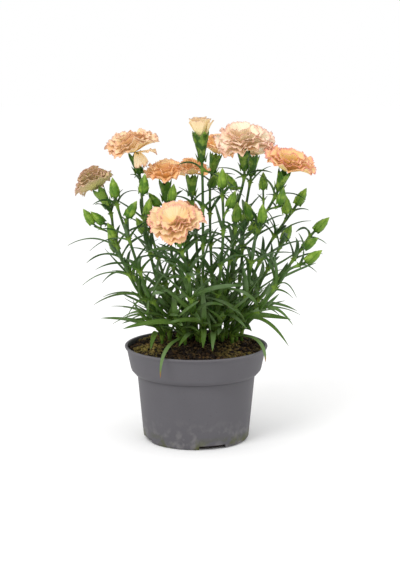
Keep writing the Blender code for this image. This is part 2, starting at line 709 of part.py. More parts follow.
def petal_solid(layers, cup, seed):
    """All the petals of a bloom on their column, whose foot stands in the cup."""
    rosette, rng, phase = Rosette(), random.Random(seed), 0.0
    rosette.rise(cup * 0.86 - GAP - 0.1, GAP - CUP_DEPTH, 6, phase)
    rosette.rise(cup - GAP - 0.25, 0.8, 6, phase)
    for layer in layers:
        phase += math.pi / layer.count * rng.uniform(0.7, 1.0)
        rosette.petals(layer, phase, rng)
    return rosette.close()


def keep_outer_shell(obj):
    """Drops every closed shell but the largest: hollows sealed inside the union, and crumbs."""
    mesh = bmesh.new()
    mesh.from_mesh(obj.data)
    unseen, shells = set(mesh.verts), []
    while unseen:
        shell, edge = set(), [unseen.pop()]
        while edge:
            vert = edge.pop()
            shell.add(vert)
            for link in vert.link_edges:
                other = link.other_vert(vert)
                if other in unseen:
                    unseen.remove(other)
                    edge.append(other)
        shells.append(shell)
    shells.sort(key=len)
    spare = [vert for shell in shells[:-1] for vert in shell]
    bmesh.ops.delete(mesh, geom=spare, context="VERTS")
    mesh.to_mesh(obj.data)
    mesh.free()


def fused(name, solids, look):
    """One node: the first solid with all the others joined to it."""
    first = mesh_object(name, *solids[0], look)
    others = bpy.data.collections.new(name + " pieces")
    bpy.context.scene.collection.children.link(others)
    for number, (points, faces) in enumerate(solids[1:]):
        piece = mesh_object(f"{name} piece {number}", points, faces)
        bpy.context.scene.collection.objects.unlink(piece)
        others.objects.link(piece)
    if len(solids) > 1:
        join = first.modifiers.new("join", "BOOLEAN")
        join.operation = "UNION"
        join.operand_type = "COLLECTION"
        join.collection = others
        join.solver = "MANIFOLD"
        apply_modifiers(first)
        keep_outer_shell(first)
    for piece in list(others.objects):
        bpy.data.objects.remove(piece)
    bpy.data.collections.remove(others)
    return first


def apply_modifiers(obj):
    bpy.context.view_layer.update()
    graph = bpy.context.evaluated_depsgraph_get()
    mesh = bpy.data.meshes.new_from_object(obj.evaluated_get(graph))
    obj.modifiers.clear()
    obj.data = mesh


def cut(obj, solids, solver="EXACT"):
    """Cuts the solids out of obj."""
    cutters = bpy.data.collections.new("cutters")
    bpy.context.scene.collection.children.link(cutters)
    for points, faces in solids:
        piece = mesh_object("cutter", points, faces)
        bpy.context.scene.collection.objects.unlink(piece)
        cutters.objects.link(piece)
    knife = obj.modifiers.new("cut", "BOOLEAN")
    knife.operation = "DIFFERENCE"
    knife.operand_type = "COLLECTION"
    knife.collection = cutters
    knife.solver = solver
    apply_modifiers(obj)
    for piece in list(cutters.objects):
        bpy.data.objects.remove(piece)
    bpy.data.collections.remove(cutters)


BOX_FACES = [(3, 2, 1, 0), (4, 5, 6, 7), (0, 1, 5, 4), (1, 2, 6, 5), (2, 3, 7, 6), (3, 0, 4, 7)]


def make_pot(look):
    """The pot: a turned shell with a collar, a lip and drain notches at its foot."""
    inside_top = RIM_RADIUS - LIP - WALL
    profile = [
        (0, 0), (BASE_RADIUS - 1.4, 0), (BASE_RADIUS, 1.6), (BODY_TOP_RADIUS, BODY_TOP_Z),
        (COLLAR_FOOT_RADIUS - 0.8, COLLAR_FOOT_Z - 1.6), (COLLAR_FOOT_RADIUS, COLLAR_FOOT_Z),
        (RIM_RADIUS - LIP, POT_HEIGHT - 2.4), (RIM_RADIUS, POT_HEIGHT - 1.6),
        (RIM_RADIUS - 0.5, POT_HEIGHT), (inside_top + 0.4, POT_HEIGHT),
        (inside_top, POT_HEIGHT - 1.6), (COLLAR_FOOT_RADIUS - WALL, COLLAR_FOOT_Z + 0.4),
        (BODY_TOP_RADIUS - WALL, BODY_TOP_Z + 0.6), (BASE_RADIUS - WALL, WALL), (0, WALL),
    ]
    points, faces = turned_solid(profile, POT_SIDES)
    pot = mesh_object("pot", points, faces, look)
    drains = []
    for k in range(DRAIN_COUNT):
        a = math.radians(DRAIN_FIRST_DEG) + math.tau * k / DRAIN_COUNT
        out = np.array([math.cos(a), math.sin(a), 0])
        across = np.array([-math.sin(a), math.cos(a), 0])
        corners = []
        for z in (-2.0, DRAIN_HEIGHT):
            for reach, side in ((38.0, -1), (60.0, -1), (60.0, 1), (38.0, 1)):
                corners.append(out * reach + across * side * DRAIN_WIDTH / 2 + UP * z)
        drains.append((corners, BOX_FACES))
    cut(pot, drains)
    return pot


def soil_height(x, y):
    """The soil's top: heaped to the middle, higher at the back, and lumpy."""
    r = math.hypot(x, y) / RIM_RADIUS
    lumps = (0.8 * math.sin(0.23 * x + 0.8) * math.sin(0.21 * y + 2.1)
             + 0.6 * math.sin(0.39 * x - 0.33 * y + 1.0) + 0.4 * math.sin(0.61 * y + 0.47 * x))
    back = 2.4 * max(0.0, y / RIM_RADIUS) * r
    return SOIL_EDGE_Z + SOIL_HEAP * (1 - r * r) + back + lumps * (1 - 0.5 * r)


def make_soil(look, feet):
    """The soil: it fills the pot and has a plain hole for each shoot."""
    inside_top = RIM_RADIUS - LIP - WALL
    levels = [(BASE_RADIUS - WALL - GAP, WALL + GAP),
              (BODY_TOP_RADIUS - WALL - GAP - 0.1, BODY_TOP_Z + 0.9),
              (COLLAR_FOOT_RADIUS - WALL - GAP - 0.1, COLLAR_FOOT_Z + 0.7)]
    points = [(0, 0, WALL + GAP)]
    for radius, z in levels:
        for k in range(POT_SIDES):
            a = math.tau * k / POT_SIDES
            points.append((radius * math.cos(a), radius * math.sin(a), z))
    edge = COLLAR_FOOT_RADIUS - WALL - GAP + (inside_top - COLLAR_FOOT_RADIUS + WALL) * (
        (SOIL_EDGE_Z - COLLAR_FOOT_Z) / (POT_HEIGHT - COLLAR_FOOT_Z))
    for share in reversed(SOIL_RINGS):
        for k in range(POT_SIDES):
            a = math.tau * k / POT_SIDES
            x, y = edge * share * math.cos(a), edge * share * math.sin(a)
            points.append((x, y, soil_height(x, y)))
    points.append((0, 0, soil_height(0, 0)))
    top = len(points) - 1
    n, faces = POT_SIDES, []
    rings = len(levels) + len(SOIL_RINGS)
    for k in range(n):
        m = (k + 1) % n
        faces.append((0, 1 + m, 1 + k))
        for r in range(rings - 1):
            low, high = 1 + r * n, 1 + (r + 1) * n
            faces.append((low + k, low + m, high + m, high + k))
        last = 1 + (rings - 1) * n
        faces.append((last + k, last + m, top))
    soil = mesh_object("soil", points, faces, look)
    holes = []
    for x, y in feet:
        radius = (STEM_RADIUS_LOW + GAP) / math.cos(math.pi / HOLE_SIDES)
        hole = turned_solid([(0, PEG_FOOT_Z - GAP), (radius, PEG_FOOT_Z - GAP), (radius, SHOOT_FOOT_Z + 4),
                             (0, SHOOT_FOOT_Z + 4)], HOLE_SIDES)
        holes.append(([(px + x, py + y, pz) for px, py, pz in hole[0]], hole[1]))
    cut(soil, holes)
    return soil


def top_solids(base, axis, top):
    """The bud or the cup that stands on a stalk's end, with its scales."""
    if top == "bud":
        return [bud_solid(base, axis)]
    sizes = (OPENING_LENGTH, OPENING_RADIUS) if top == "opening bud" else (CALYX_LENGTH, CALYX_RADIUS)
    scales = [scale_solid(scale_leaf(base, axis, turn, 10.0, 3.6)) for turn in (0.3, 0.3 + math.pi)]
    return [calyx_solid(base, axis, *sizes), *scales]


def make_shoot(shoot, main, sides, leaves, look):
    """A leafy stem with its stalks, leaves, buds and calyx in one node."""
    solids = [leafy_stem(shoot, main, leaves)]
    for side, line in zip(shoot.sides, sides):
        stations = [(line.at(share), line.way(share), 1.0) for share in (0.0, 0.5, 1.0)]
        solids.append(tube(stations, 3))
        solids += top_solids(line.at(1), side.axis, "bud")
    if shoot.top != "tuft":
        solids += top_solids(main.at(1), shoot.axis, shoot.top)
    return fused("shoot_" + shoot.name, solids, look)


def make_petals(shoot, main, look):
    """The petals that stand in a shoot's calyx."""
    frame = frame_of(shoot.axis)
    if shoot.top == "opening bud":
        name, layers = "opening_bud", OPENING_LAYERS
        length, radius = OPENING_LENGTH, OPENING_RADIUS
    else:
        name, layers = shoot.top.name, layers_of(shoot.top)
        length, radius = CALYX_LENGTH, CALYX_RADIUS
    points, faces = petal_solid(layers, radius - CUP_WALL, name)
    rim = main.at(1) + frame[2] * length
    return mesh_object("petals_" + name, stood(points, rim, frame), faces, look)


def main():
    for obj in list(bpy.data.objects):
        bpy.data.objects.remove(obj)
    plastic = material("pot plastic", (0.16, 0.155, 0.17), 0.55)
    earth = material("soil", (0.035, 0.022, 0.015), 0.95)
    green = material("foliage", (0.055, 0.13, 0.05), 0.6)
    peach = material("petals", (0.9, 0.55, 0.33), 0.7)
    planned = plan()
    make_pot(plastic)
    make_soil(earth, [shoot.foot for shoot in SHOOTS])
    for shoot, line, sides, leaves in planned:
        make_shoot(shoot, line, sides, leaves, green)
        if shoot.top not in ("bud", "tuft"):
            make_petals(shoot, line, peach)


main()
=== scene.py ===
"""A pot carnation in its grey nursery pot, dressed for its portrait.

Sizes are in millimetres and become metres where a mesh is made. +Z is up, -Y is the side the plant
is seen from, and the origin is the middle of the pot's flat underside.
"""

import json
import math
import random
from collections import namedtuple

import bpy
import numpy as np
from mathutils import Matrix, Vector

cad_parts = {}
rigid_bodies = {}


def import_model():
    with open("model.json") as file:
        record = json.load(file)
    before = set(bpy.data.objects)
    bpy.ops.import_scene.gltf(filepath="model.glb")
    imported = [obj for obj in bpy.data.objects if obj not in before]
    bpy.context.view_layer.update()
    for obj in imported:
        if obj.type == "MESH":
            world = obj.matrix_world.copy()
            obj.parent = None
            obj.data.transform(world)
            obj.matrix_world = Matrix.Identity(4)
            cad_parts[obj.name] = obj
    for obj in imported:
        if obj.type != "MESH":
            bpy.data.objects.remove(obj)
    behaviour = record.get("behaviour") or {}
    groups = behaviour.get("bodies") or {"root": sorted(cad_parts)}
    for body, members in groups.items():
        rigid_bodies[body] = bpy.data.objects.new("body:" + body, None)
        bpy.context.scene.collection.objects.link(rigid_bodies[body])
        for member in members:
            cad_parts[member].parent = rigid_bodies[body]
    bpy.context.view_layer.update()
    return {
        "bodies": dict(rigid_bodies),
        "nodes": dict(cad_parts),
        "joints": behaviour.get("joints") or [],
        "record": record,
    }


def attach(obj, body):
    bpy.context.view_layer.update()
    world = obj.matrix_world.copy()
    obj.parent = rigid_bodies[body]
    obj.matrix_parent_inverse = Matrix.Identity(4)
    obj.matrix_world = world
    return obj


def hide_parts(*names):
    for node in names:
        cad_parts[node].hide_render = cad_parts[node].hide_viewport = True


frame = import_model()

# Camera: how far back and up it stands, how far down it looks, its lens and its sideways shift
CAMERA_BACK = 1246.0
CAMERA_UP = 363.6
CAMERA_DOWN_DEG = 10.14
CAMERA_LENS = 88.4
CAMERA_SHIFT = 0.0067

# How fine the dressed pieces are, and how thick and how deeply toothed the petals
BLOOM_PETALS = 24
OPENING_PETALS = 11
PETAL_ROWS = 12
PETAL_COLUMNS = 41
PETAL_THICK = 0.22
OPENING_THICK = 0.25
TOOTH = 0.09
FRINGE_FROM, FRINGE = 0.84, 0.16
GOLDEN = math.pi * (3 - math.sqrt(5))
LEAF_STATIONS = 18
BRACT_STATIONS = 9
STEM_SIDES = 14
STALK_SIDES = 10
BUD_ROWS, BUD_SIDES = 20, 30
CALYX_ROWS, CALYX_SIDES = 16, 60
POT_SIDES = 160
SOIL_RINGS, SOIL_SIDES = 40, 120
CRUMBS = 4600
FIBRES = 260
BARK_SHARE = 0.14

# How much fuller the blades are and how much slimmer the stems than the plain solids
LEAF_FULLNESS = 1.05
STEM_SLENDER = 0.92

# Leaves of young side shoots: how many at a joint, how often each is tried, how far up, and the gap
# between the balls that stand for them and those of other shoots
YOUNG_LEAVES = 6
YOUNG_TRIES = 10
YOUNG_LEAVES_TO = 0.92
YOUNG_CLEAR = -0.5

# How deep a bloom's ruffles are beside its radius or a petal's reach: the three that neighbours share,
# and each petal's own
SLOW_RUFFLE, QUICK_RUFFLE, CRIMP, OWN_RUFFLE = 0.11, 0.068, 0.042, 0.045

# How far a bloom's lowest petals rise, how much it is a bowl instead of a dome, and how high and how
# wide it is beside its plain solid
BLOOM_SHAPES = {
    "front": (0.17, 0.7, 0.95, 0.97),
    "left": (0.20, 0.0, 1.0, 1.03),
    "far_left": (0.08, 0.0, 1.0, 1.0),
    "right": (0.36, 0.0, 1.15, 1.05),
    "mid_left": (0.24, 0.0, 1.1, 1.04),
    "top_right": (0.22, 0.0, 0.84, 1.09),
}
USUAL_SHAPE = (0.12, 0.0, 1.0, 1.0)

# Petals that hang down, as (turn about the bloom's axis, reach, drop, half width), and leaves whose
# tips are scorched if they hang low, as (shoot, joint)
STRAY_PETALS = {"left": [(-0.50, 10.5, -13.0, 8.5), (-0.15, 22.0, 1.0, 10.0)]}
BROWN_TIPS = {("low_front_left", 0), ("low_right", 0)}
BROWN_BELOW_Z = 90.0

MM = 0.001

# Pot
RIM_RADIUS = 65.0
POT_HEIGHT = 86.0
LIP = 1.2
COLLAR_FOOT_RADIUS = 59.4
COLLAR_FOOT_Z = 64.5
BODY_TOP_RADIUS = 53.7
BODY_TOP_Z = 60.0
BASE_RADIUS = 48.1
WALL = 1.4
FOOT_ROUND = 2.2
LIP_ROUND = 0.9

# Drain notches in its foot, and how near the axis and how far out their cuts reach
DRAIN_COUNT = 4
DRAIN_WIDTH = 25.0
DRAIN_HEIGHT = 3.6
DRAIN_FIRST_DEG = -72.0
DRAIN_NEAR, DRAIN_FAR = 38.0, 60.0

# Soil
GAP = 0.35
SOIL_EDGE_Z = 81.0
SOIL_HEAP = 4.0
SOIL_REACH = COLLAR_FOOT_RADIUS - WALL - GAP + (RIM_RADIUS - LIP - COLLAR_FOOT_RADIUS) * (
    (SOIL_EDGE_Z - COLLAR_FOOT_Z) / (POT_HEIGHT - COLLAR_FOOT_Z))
SOIL_SEED = 7
PEG_FOOT_Z = 70.0
SHOOT_FOOT_Z = 89.0

# Stems: the main ones from foot to head, and the side stalks with the small leaves at their joint
STEM_RADIUS_LOW = 1.6
STEM_RADIUS_HIGH = 1.25
STALK_RADIUS = 0.85
BRACTS_AT = 0.62
BRACT_WIDTH = 1.9

# How far a joint's swelling and the sheath above it reach along a stem, how far its pale colour does,
# and the height that stem colours are spread over
KNOT_REACH = 2.3
SHEATH_REACH = 5.0
PALE_REACH = 9.0
STEM_TOP_Z = 250.0

# How far the first leaf pair stands above the foot, and the last below the head
FIRST_PAIR = 2.6
LAST_PAIR = 9.0

# Leaves: their length and width at the foot of a shoot and at its head, and how far up they shorten
LEAF_LONG, LEAF_SHORT = 60.0, 27.0
LEAF_WIDE, LEAF_NARROW = 5.8, 3.2
LEAF_CLIMB = 140.0
CLASP_HALF = 2.3

# How leaves are kept apart: where a plain blade bends, how often a leaf is tried, its gap to other
# shoots and to its own, how far off balls still count, and the shares of a leaf's length from which on
# it keeps clear of other shoots, of its own stems and of its own shoot's leaves
LEAF_STEPS = (0.28, 0.66)
LEAF_TRIES = 34
LEAF_CLEAR = 0.7
OWN_CLEAR = 0.2
FAR = 20.0
CLEAR_FROM, STEM_CLEAR_FROM, LEAF_CLEAR_FROM = 0.1, 0.34, 0.2

# Calyx, buds and petals
CALYX_LENGTH = 17.0
CALYX_RADIUS = 5.4
CALYX_WAIST = 3.6
CALYX_TEETH = 5
CALYX_WALL = 0.55
OPENING_LENGTH = 24.0
OPENING_RADIUS = 7.0
BUD_LENGTH = 16.0
BUD_RADIUS = 4.2
TOP_BUD_SIZE = 1.05
HEAD_SINK = 2.0

# The outer and the inner two of the four scales at the foot of a bud or a calyx
Scale = namedtuple("Scale", "radius z length width lean")
BUD_SCALES = (Scale(3.8, -1.2, 6.5, 5.4, 1.0), Scale(2.9, -0.7, 8.7, 5.4, 0.9))
CALYX_SCALES = (Scale(3.9, -1.6, 8.0, 6.4, 1.8), Scale(2.9, -0.9, 10.6, 6.4, 1.6))
SCALE_ROWS, SCALE_COLUMNS = 9, 7
SCALE_THICK = 0.28

Bloom = namedtuple("Bloom", "name radius dome")
Side = namedtuple("Side", "share tip axis")
Shoot = namedtuple("Shoot", "name foot via head axis pairs top sides", defaults=["bud", ()])

UP = np.array([0.0, 0.0, 1.0])

# Each head is the point where a shoot's calyx or last bud begins, and axis is the way it faces.
SHOOTS = [
    Shoot("far_left", (-24, 13), [(-54, -9, 140), (-72, -7, 181)], (-79, -1, 213), (-0.50, 0.30, 0.81), 6,
          Bloom("far_left", 20, 0.7),
          [Side(0.80, (-92, -12, 199), (-0.55, 0, 0.83)),
           Side(0.86, (-83, -11, 199), (-0.72, -0.1, 0.69)),
           Side(0.74, (-73, -13, 186), (-0.35, -0.2, 0.9))]),
    Shoot("thin_left", (-15, 6), [(-41, -23, 134), (-58, -23, 182)], (-71, -23, 224), (-0.15, 0, 1), 6,
          "bud", [Side(0.80, (-60, -27, 207), (0.5, -0.2, 0.84))]),
    Shoot("left", (-11, 17), [(-33, -1, 137), (-47, 0, 202)], (-51, 0, 243), (-0.22, -0.10, 0.97), 6,
          Bloom("left", 26, 0.55),
          [Side(0.86, (-47, -13, 226), (0.1, -0.1, 0.98)),
           Side(0.72, (-44, -7, 207), (0.2, -0.2, 0.95))]),
    Shoot("mid_left", (-5, 26), [(-18, 11, 137), (-25, 9, 195)], (-27, 9, 217), (-0.05, -0.16, 0.98), 6,
          Bloom("mid_left", 20, 0.55),
          [Side(0.80, (-34, 1, 213), (-0.6, -0.1, 0.8)),
           Side(0.84, (-22, -5, 219), (0.15, -0.15, 0.97))]),
    Shoot("front", (1, 7), [(-4, -38, 130), (-7, -56, 162)], (-14, -67, 188), (-0.14, -0.50, 0.85), 6,
          Bloom("front", 27, 0.4)),
    Shoot("top_bud", (4, 15), [(6, -5, 145), (6, -5, 205)], (5, -5, 254), (-0.05, 0, 1), 6, "opening bud"),
    Shoot("back_top", (7, 32), [(3, 33, 135), (-1, 36, 190)], (-4, 42, 218), (0.0, 0.1, 0.99), 5,
          Bloom("back_top", 17, 0.6)),
    Shoot("back_high", (17, 32), [(15, 44, 135), (13, 62, 195)], (15, 68, 236), (0.2, 0.0, 0.98), 6,
          Bloom("back_high", 19, 0.6), [Side(0.85, (14, 55, 225), (0.45, -0.3, 0.84))]),
    Shoot("mid_bud", (13, 10), [(20, -20, 142), (24, -22, 195)], (23, -21, 232), (0.0, 0, 1), 6,
          "bud", [Side(0.82, (29, -24, 215), (0.35, -0.1, 0.93))]),
    Shoot("top_right", (19, 24), [(31, 14, 141), (35, 10, 202)], (43, -1, 246), (-0.06, -0.26, 0.96), 6,
          Bloom("top_right", 26, 0.75), [Side(0.88, (34, 6, 228), (-0.45, -0.2, 0.87))]),
    Shoot("top_right_back", (28, 27), [(40, 31, 137), (45, 38, 200)], (51, 50, 236), (0.12, 0.24, 0.96), 6,
          Bloom("top_right_back", 19, 0.75)),
    Shoot("right", (24, 11), [(43, -13, 128), (55, -10, 193)], (73, -10, 229), (0.28, -0.28, 0.92), 6,
          Bloom("right", 23.5, 0.5),
          [Side(0.80, (60, 3, 228), (0.0, 0, 1)), Side(0.86, (74, -18, 217), (0.2, -0.1, 0.97)),
           Side(0.66, (58, -23, 202), (0.02, -0.2, 0.98)), Side(0.68, (49, -2, 201), (-0.3, 0.1, 0.95))]),
    Shoot("right_buds", (32, 19), [(47, 12, 136), (68, 20, 177)], (92, 22, 212), (0.5, 0, 0.86), 6,
          "bud", [Side(0.80, (82, 14, 205), (-0.1, -0.1, 0.99))]),
    Shoot("far_right", (37, 14), [(58, 0, 129), (82, 1, 156)], (108, 6, 190), (0.72, 0, 0.70), 6,
          "bud", [Side(0.74, (97, -5, 176), (0.8, -0.1, 0.59))]),
    Shoot("low_right", (33, 6), [(59, -31, 128), (80, -33, 159)], (97, -35, 168), (0.80, 0, 0.60), 5),
    Shoot("inner", (22, 16), [(28, -1, 150)], (36, -4, 200), (0.05, 0, 1), 5),
    Shoot("back_left", (-16, 30), [(-30, 40, 140)], (-44, 60, 188), (-0.2, 0.2, 0.96), 5,
          "bud", [Side(0.80, (-48, 50, 182), (-0.5, -0.1, 0.86))]),
    Shoot("back_mid", (-3, 38), [(-6, 56, 135)], (-10, 78, 172), (-0.05, 0.45, 0.89), 5,
          Bloom("back_mid", 20, 0.6)),
    Shoot("back_right", (21, 39), [(32, 56, 135)], (46, 78, 186), (0.15, 0.25, 0.96), 5,
          "bud", [Side(0.80, (52, 68, 180), (0.5, 0.1, 0.86))]),
    Shoot("back_far_right", (36, 32), [(56, 34, 130)], (82, 54, 174), (0.45, 0.2, 0.87), 5),
    Shoot("back_far_left", (-25, 23), [(-47, 24, 126)], (-74, 44, 166), (-0.5, 0.2, 0.84), 5),
    Shoot("low_front_left", (-10, 0), [], (-20, -24, 120), (-0.35, -0.35, 0.87), 4, "tuft"),
    Shoot("low_front_right", (16, 2), [], (28, -24, 122), (0.4, -0.4, 0.83), 4, "tuft"),
    Shoot("low_front", (4, -1), [], (8, -29, 116), (0.1, -0.45, 0.87), 4, "tuft"),
    Shoot("low_right_back", (42, 22), [], (57, 24, 118), (0.6, 0.1, 0.77), 4, "tuft"),
    Shoot("low_left_back", (-30, 32), [], (-46, 38, 118), (-0.5, 0.3, 0.8), 4, "tuft"),
    Shoot("low_left", (-31, 5), [], (-47, -9, 114), (-0.65, -0.2, 0.73), 3, "tuft"),
    Shoot("low_back", (8, 47), [], (12, 61, 124), (0.1, 0.5, 0.86), 4, "tuft"),
]

# Leaves that lean out furthest: the knot they grow from, counted from the foot, their tip, how far
# their middle stands above a straight line, their width, and where on the way they bend.
Reach = namedtuple("Reach", "knot tip rise width bend", defaults=[0.5])
REACHES = {
    "far_left": [Reach(4, (-115, -8, 178), 7, 3.0), Reach(3, (-102, -14, 143), 7, 3.2),
                 Reach(2, (-84, -6, 131), 5, 3.4), Reach(1, (-75, -14, 108), 5, 4.4)],
    "thin_left": [Reach(4, (-94, -26, 176), 6, 2.6), Reach(2, (-61, -34, 119), 8, 3.4),
                  Reach(1, (-62, -32, 113), 6, 3.6)],
    "back_far_left": [Reach(4, (-102, 36, 155), 6, 4.0), Reach(3, (-88, 44, 135), 8, 3.6)],
    "right_buds": [Reach(5, (103, 24, 206), 2, 2.4), Reach(4, (105, 18, 197), 4, 2.8),
                   Reach(3, (100, 12, 179), 6, 5.6)],
    "far_right": [Reach(5, (117, -4, 179), 2, 2.6), Reach(2, (88, 4, 128), 9, 3.2),
                  Reach(1, (76, -4, 113), 9, 3.4)],
    "low_right": [Reach(4, (105, -44, 160), 3, 2.4), Reach(3, (88, -42, 137), 9, 2.6),
                  Reach(2, (86, -33, 110), 9, 3.2), Reach(1, (82, -36, 92), 12, 3.8),
                  Reach(0, (61, -46, 80), 11, 4.4, 1.0)],
    "low_front_left": [Reach(0, (-31, -71, 72), 11, 4.4, 1.0)],
    "mid_bud": [Reach(1, (45, -40, 108), 7, 5.0), Reach(4, (16, -17, 222), -2, 4.4)],
    "front": [Reach(0, (29, -46, 111), 6, 4.4), Reach(2, (24, -47, 131), 5, 3.4)],
    "top_bud": [Reach(1, (13, -33, 104), 8, 4.0), Reach(5, (43, -12, 222), 4, 2.8)],
    "back_top": [Reach(2, (15, 30, 188), -3, 7.0)],
    "top_right": [Reach(4, (46, 6, 224), -2, 4.4)],
    "top_right_back": [Reach(5, (68, 26, 246), 3, 2.0)],
}


# Plan, as in the plain solids


def unit(v):
    v = np.asarray(v, float)
    return v / np.linalg.norm(v)


def turned(v, axis, angle):
    """v turned about a unit axis."""
    return (v * math.cos(angle) + np.cross(axis, v) * math.sin(angle)
            + axis * np.dot(axis, v) * (1 - math.cos(angle)))


def read_points(share, shares, points):
    """The point at that share, between the points that stand at shares."""
    return np.array([np.interp(share, shares, points[:, k]) for k in range(3)])


class Line:
    """A smooth line through points, read by its share from 0 to 1."""

    def __init__(self, points, start, end, steps=12):
        points = np.array(points, float)
        gaps = np.linalg.norm(np.diff(points, axis=0), axis=1)
        slopes = np.empty_like(points)
        slopes[1:-1] = (points[2:] - points[:-2]) / (gaps[1:] + gaps[:-1])[:, None]
        slopes[0], slopes[-1] = unit(start), unit(end)
        t = np.linspace(0, 1, steps + 1)[:, None]
        rows = [points[:1]]
        for a, b, m, n, gap in zip(points, points[1:], slopes, slopes[1:], gaps):
            curve = ((2 * t**3 - 3 * t**2 + 1) * a + (t**3 - 2 * t**2 + t) * m * gap
                     + (3 * t**2 - 2 * t**3) * b + (t**3 - t**2) * n * gap)
            rows.append(curve[1:])
        self.points = np.concatenate(rows)
        lengths = np.linalg.norm(np.diff(self.points, axis=0), axis=1)
        self.along = np.concatenate([[0], np.cumsum(lengths)])
        self.length = self.along[-1]

    def at(self, share):
        return read_points(share * self.length, self.along, self.points)

    def way(self, share):
        step = 0.01
        return unit(self.at(min(1, share + step)) - self.at(max(0, share - step)))


class Room:
    """The balls that stand for what is already placed, each with its shoot and whether it is a leaf's."""

    def __init__(self):
        self.centres, self.radii = np.empty((0, 3)), np.empty(0)
        self.owners, self.leafy = np.empty(0, int), np.empty(0, bool)

    def add(self, centres, radii, owner, leafy=False):
        self.centres = np.vstack([self.centres, centres])
        self.radii = np.append(self.radii, radii)
        self.owners = np.append(self.owners, np.full(len(centres), owner))
        self.leafy = np.append(self.leafy, np.full(len(centres), leafy))

    def free(self, centres, radii, others, clear):
        """True if the balls miss every placed ball in others, a mask of the balls."""
        low, high = centres.min(axis=0) - FAR, centres.max(axis=0) + FAR
        near = others & (self.centres > low).all(axis=1) & (self.centres < high).all(axis=1)
        apart = np.linalg.norm(centres[:, None] - self.centres[None, near], axis=2)
        return not (apart < radii[:, None] + self.radii[None, near] + clear).any()


def pot_is_clear(points):
    """True if no point comes within a leaf's thickness of the soil or of the pot."""
    reach = np.hypot(points[:, 0], points[:, 1])
    over = points[:, 2] > np.where(reach < RIM_RADIUS - 8, SHOOT_FOOT_Z - 1.5, POT_HEIGHT + 3)
    return bool((over | (reach > RIM_RADIUS + 3)).all() and (points[:, 2] > 4).all())


class Leaf:
    """A narrow blade along a line of points: its width, its left edge's way and its twist."""

    def __init__(self, points, side, width, twist=0.0):
        self.points, self.side, self.width, self.twist = points, side, width, twist
        self.u = np.linspace(0, 1, len(points))
        ways = np.gradient(points, axis=0)
        self.ways = ways / np.linalg.norm(ways, axis=1)[:, None]

    def at(self, share):
        """(point, direction of the left edge, direction of the upper side) at that share of the length."""
        point = read_points(share, self.u, self.points)
        way = unit(read_points(share, self.u, self.ways))
        side = unit(self.side - way * np.dot(self.side, way))
        side = turned(side, way, self.twist * share)
        return point, side, np.cross(way, side)

    def half_width(self, share):
        """Narrow at the sheath, widest at a third, and pointed."""
        swell = min(1.0, 0.5 + 2.2 * share)
        return self.width / 2 * swell * (1 - share ** 3) ** 0.9

    def balls(self, first):
        """Balls along the blade as it is meshed, straight between its sections."""
        shares = np.linspace(first, 1, 17)
        ends = (0.0, *LEAF_STEPS, 1.0)
        corners = np.array([self.at(share)[0] for share in ends])
        radii = np.array([self.half_width(share) * 0.9 + 0.25 for share in shares])
        return read_points(shares, ends, corners).T, radii


def arch(base, start, end, length, steps=24):
    """Points of a line that sets out along start and bends round to end."""
    lean = (np.linspace(0, 1, steps + 1) ** 0.75)[:, None]
    ways = unit(start) * (1 - lean) + unit(end) * lean
    ways /= np.linalg.norm(ways, axis=1)[:, None]
    strides = (ways[1:] + ways[:-1]) / 2 * length / steps
    return base + np.vstack([np.zeros(3), np.cumsum(strides, axis=0)])


def reach_line(base, tip, rise, bend, steps=24):
    """Points from base to tip, raised at the bend."""
    u = np.linspace(0, 1, steps + 1)[:, None]
    middle = (base + tip) / 2 + (tip - base) * (1, 1, 0) * (bend - 0.5) + UP * 2 * rise
    return (1 - u) ** 2 * base + 2 * u * (1 - u) * middle + u * u * tip


def head_balls(point, axis, top):
    """Balls that fill a bud or a bloom standing on a calyx."""
    axis = unit(axis)
    if top == "bud":
        return ([point + axis * BUD_LENGTH * k for k in (0.3, 0.7)], [BUD_RADIUS + 0.4, BUD_RADIUS])
    if top == "opening bud":
        return ([point + axis * k for k in (5, 11, 18, 26)], [5, 6, 8, 10])
    across = unit(np.cross(axis, (0.3, 1, 0.2)))
    rim = point + axis * (CALYX_LENGTH + 5)
    centres = [point + axis * 6, point + axis * 12, rim + axis * top.radius * 0.35]
    radii = [5, 6, top.radius * 0.55]
    for k in range(10):
        out = turned(across, axis, k * math.tau / 10)
        centres.append(rim + out * top.radius * 0.72 + axis * 2)
        radii.append(top.radius * 0.36)
    return centres, radii


def lines_of(shoot):
    """The shoot's main line and those of its side stalks."""
    foot = np.array([*shoot.foot, SHOOT_FOOT_Z])
    main = Line([foot, *shoot.via, shoot.head], UP, shoot.axis)
    sides = []
    for side in shoot.sides:
        start, way = main.at(side.share), main.way(side.share)
        sides.append(Line([start, side.tip], way + unit(side.tip - start), side.axis, 8))
    return main, sides


def knot_shares(shoot, main):
    """Where the leaf pairs stand: crowded at the foot, wide apart above, none beside the calyx."""
    last = 1 - LAST_PAIR / main.length
    steps = [k / max(1, shoot.pairs - 1) for k in range(shoot.pairs)]
    first = FIRST_PAIR / main.length
    return [first + (last - first) * s ** 1.12 for s in steps]


def setting_out(main, share, turn):
    """Where a leaf sets out: its base, its stem's way, its own way out and how high up it is."""
    base, way = main.at(share), main.way(share)
    out = np.array([math.cos(turn), math.sin(turn), 0.0])
    height = min(1.0, (base[2] - SHOOT_FOOT_Z) / LEAF_CLIMB)
    return base, way, unit(out - way * np.dot(out, way) * 0.6), height


def usual_length(height):
    """A leaf's length there. height is the share of LEAF_CLIMB."""
    return LEAF_LONG + (LEAF_SHORT - LEAF_LONG) * height ** 0.8


def usual_width(height):
    return LEAF_WIDE + (LEAF_NARROW - LEAF_WIDE) * height ** 0.7


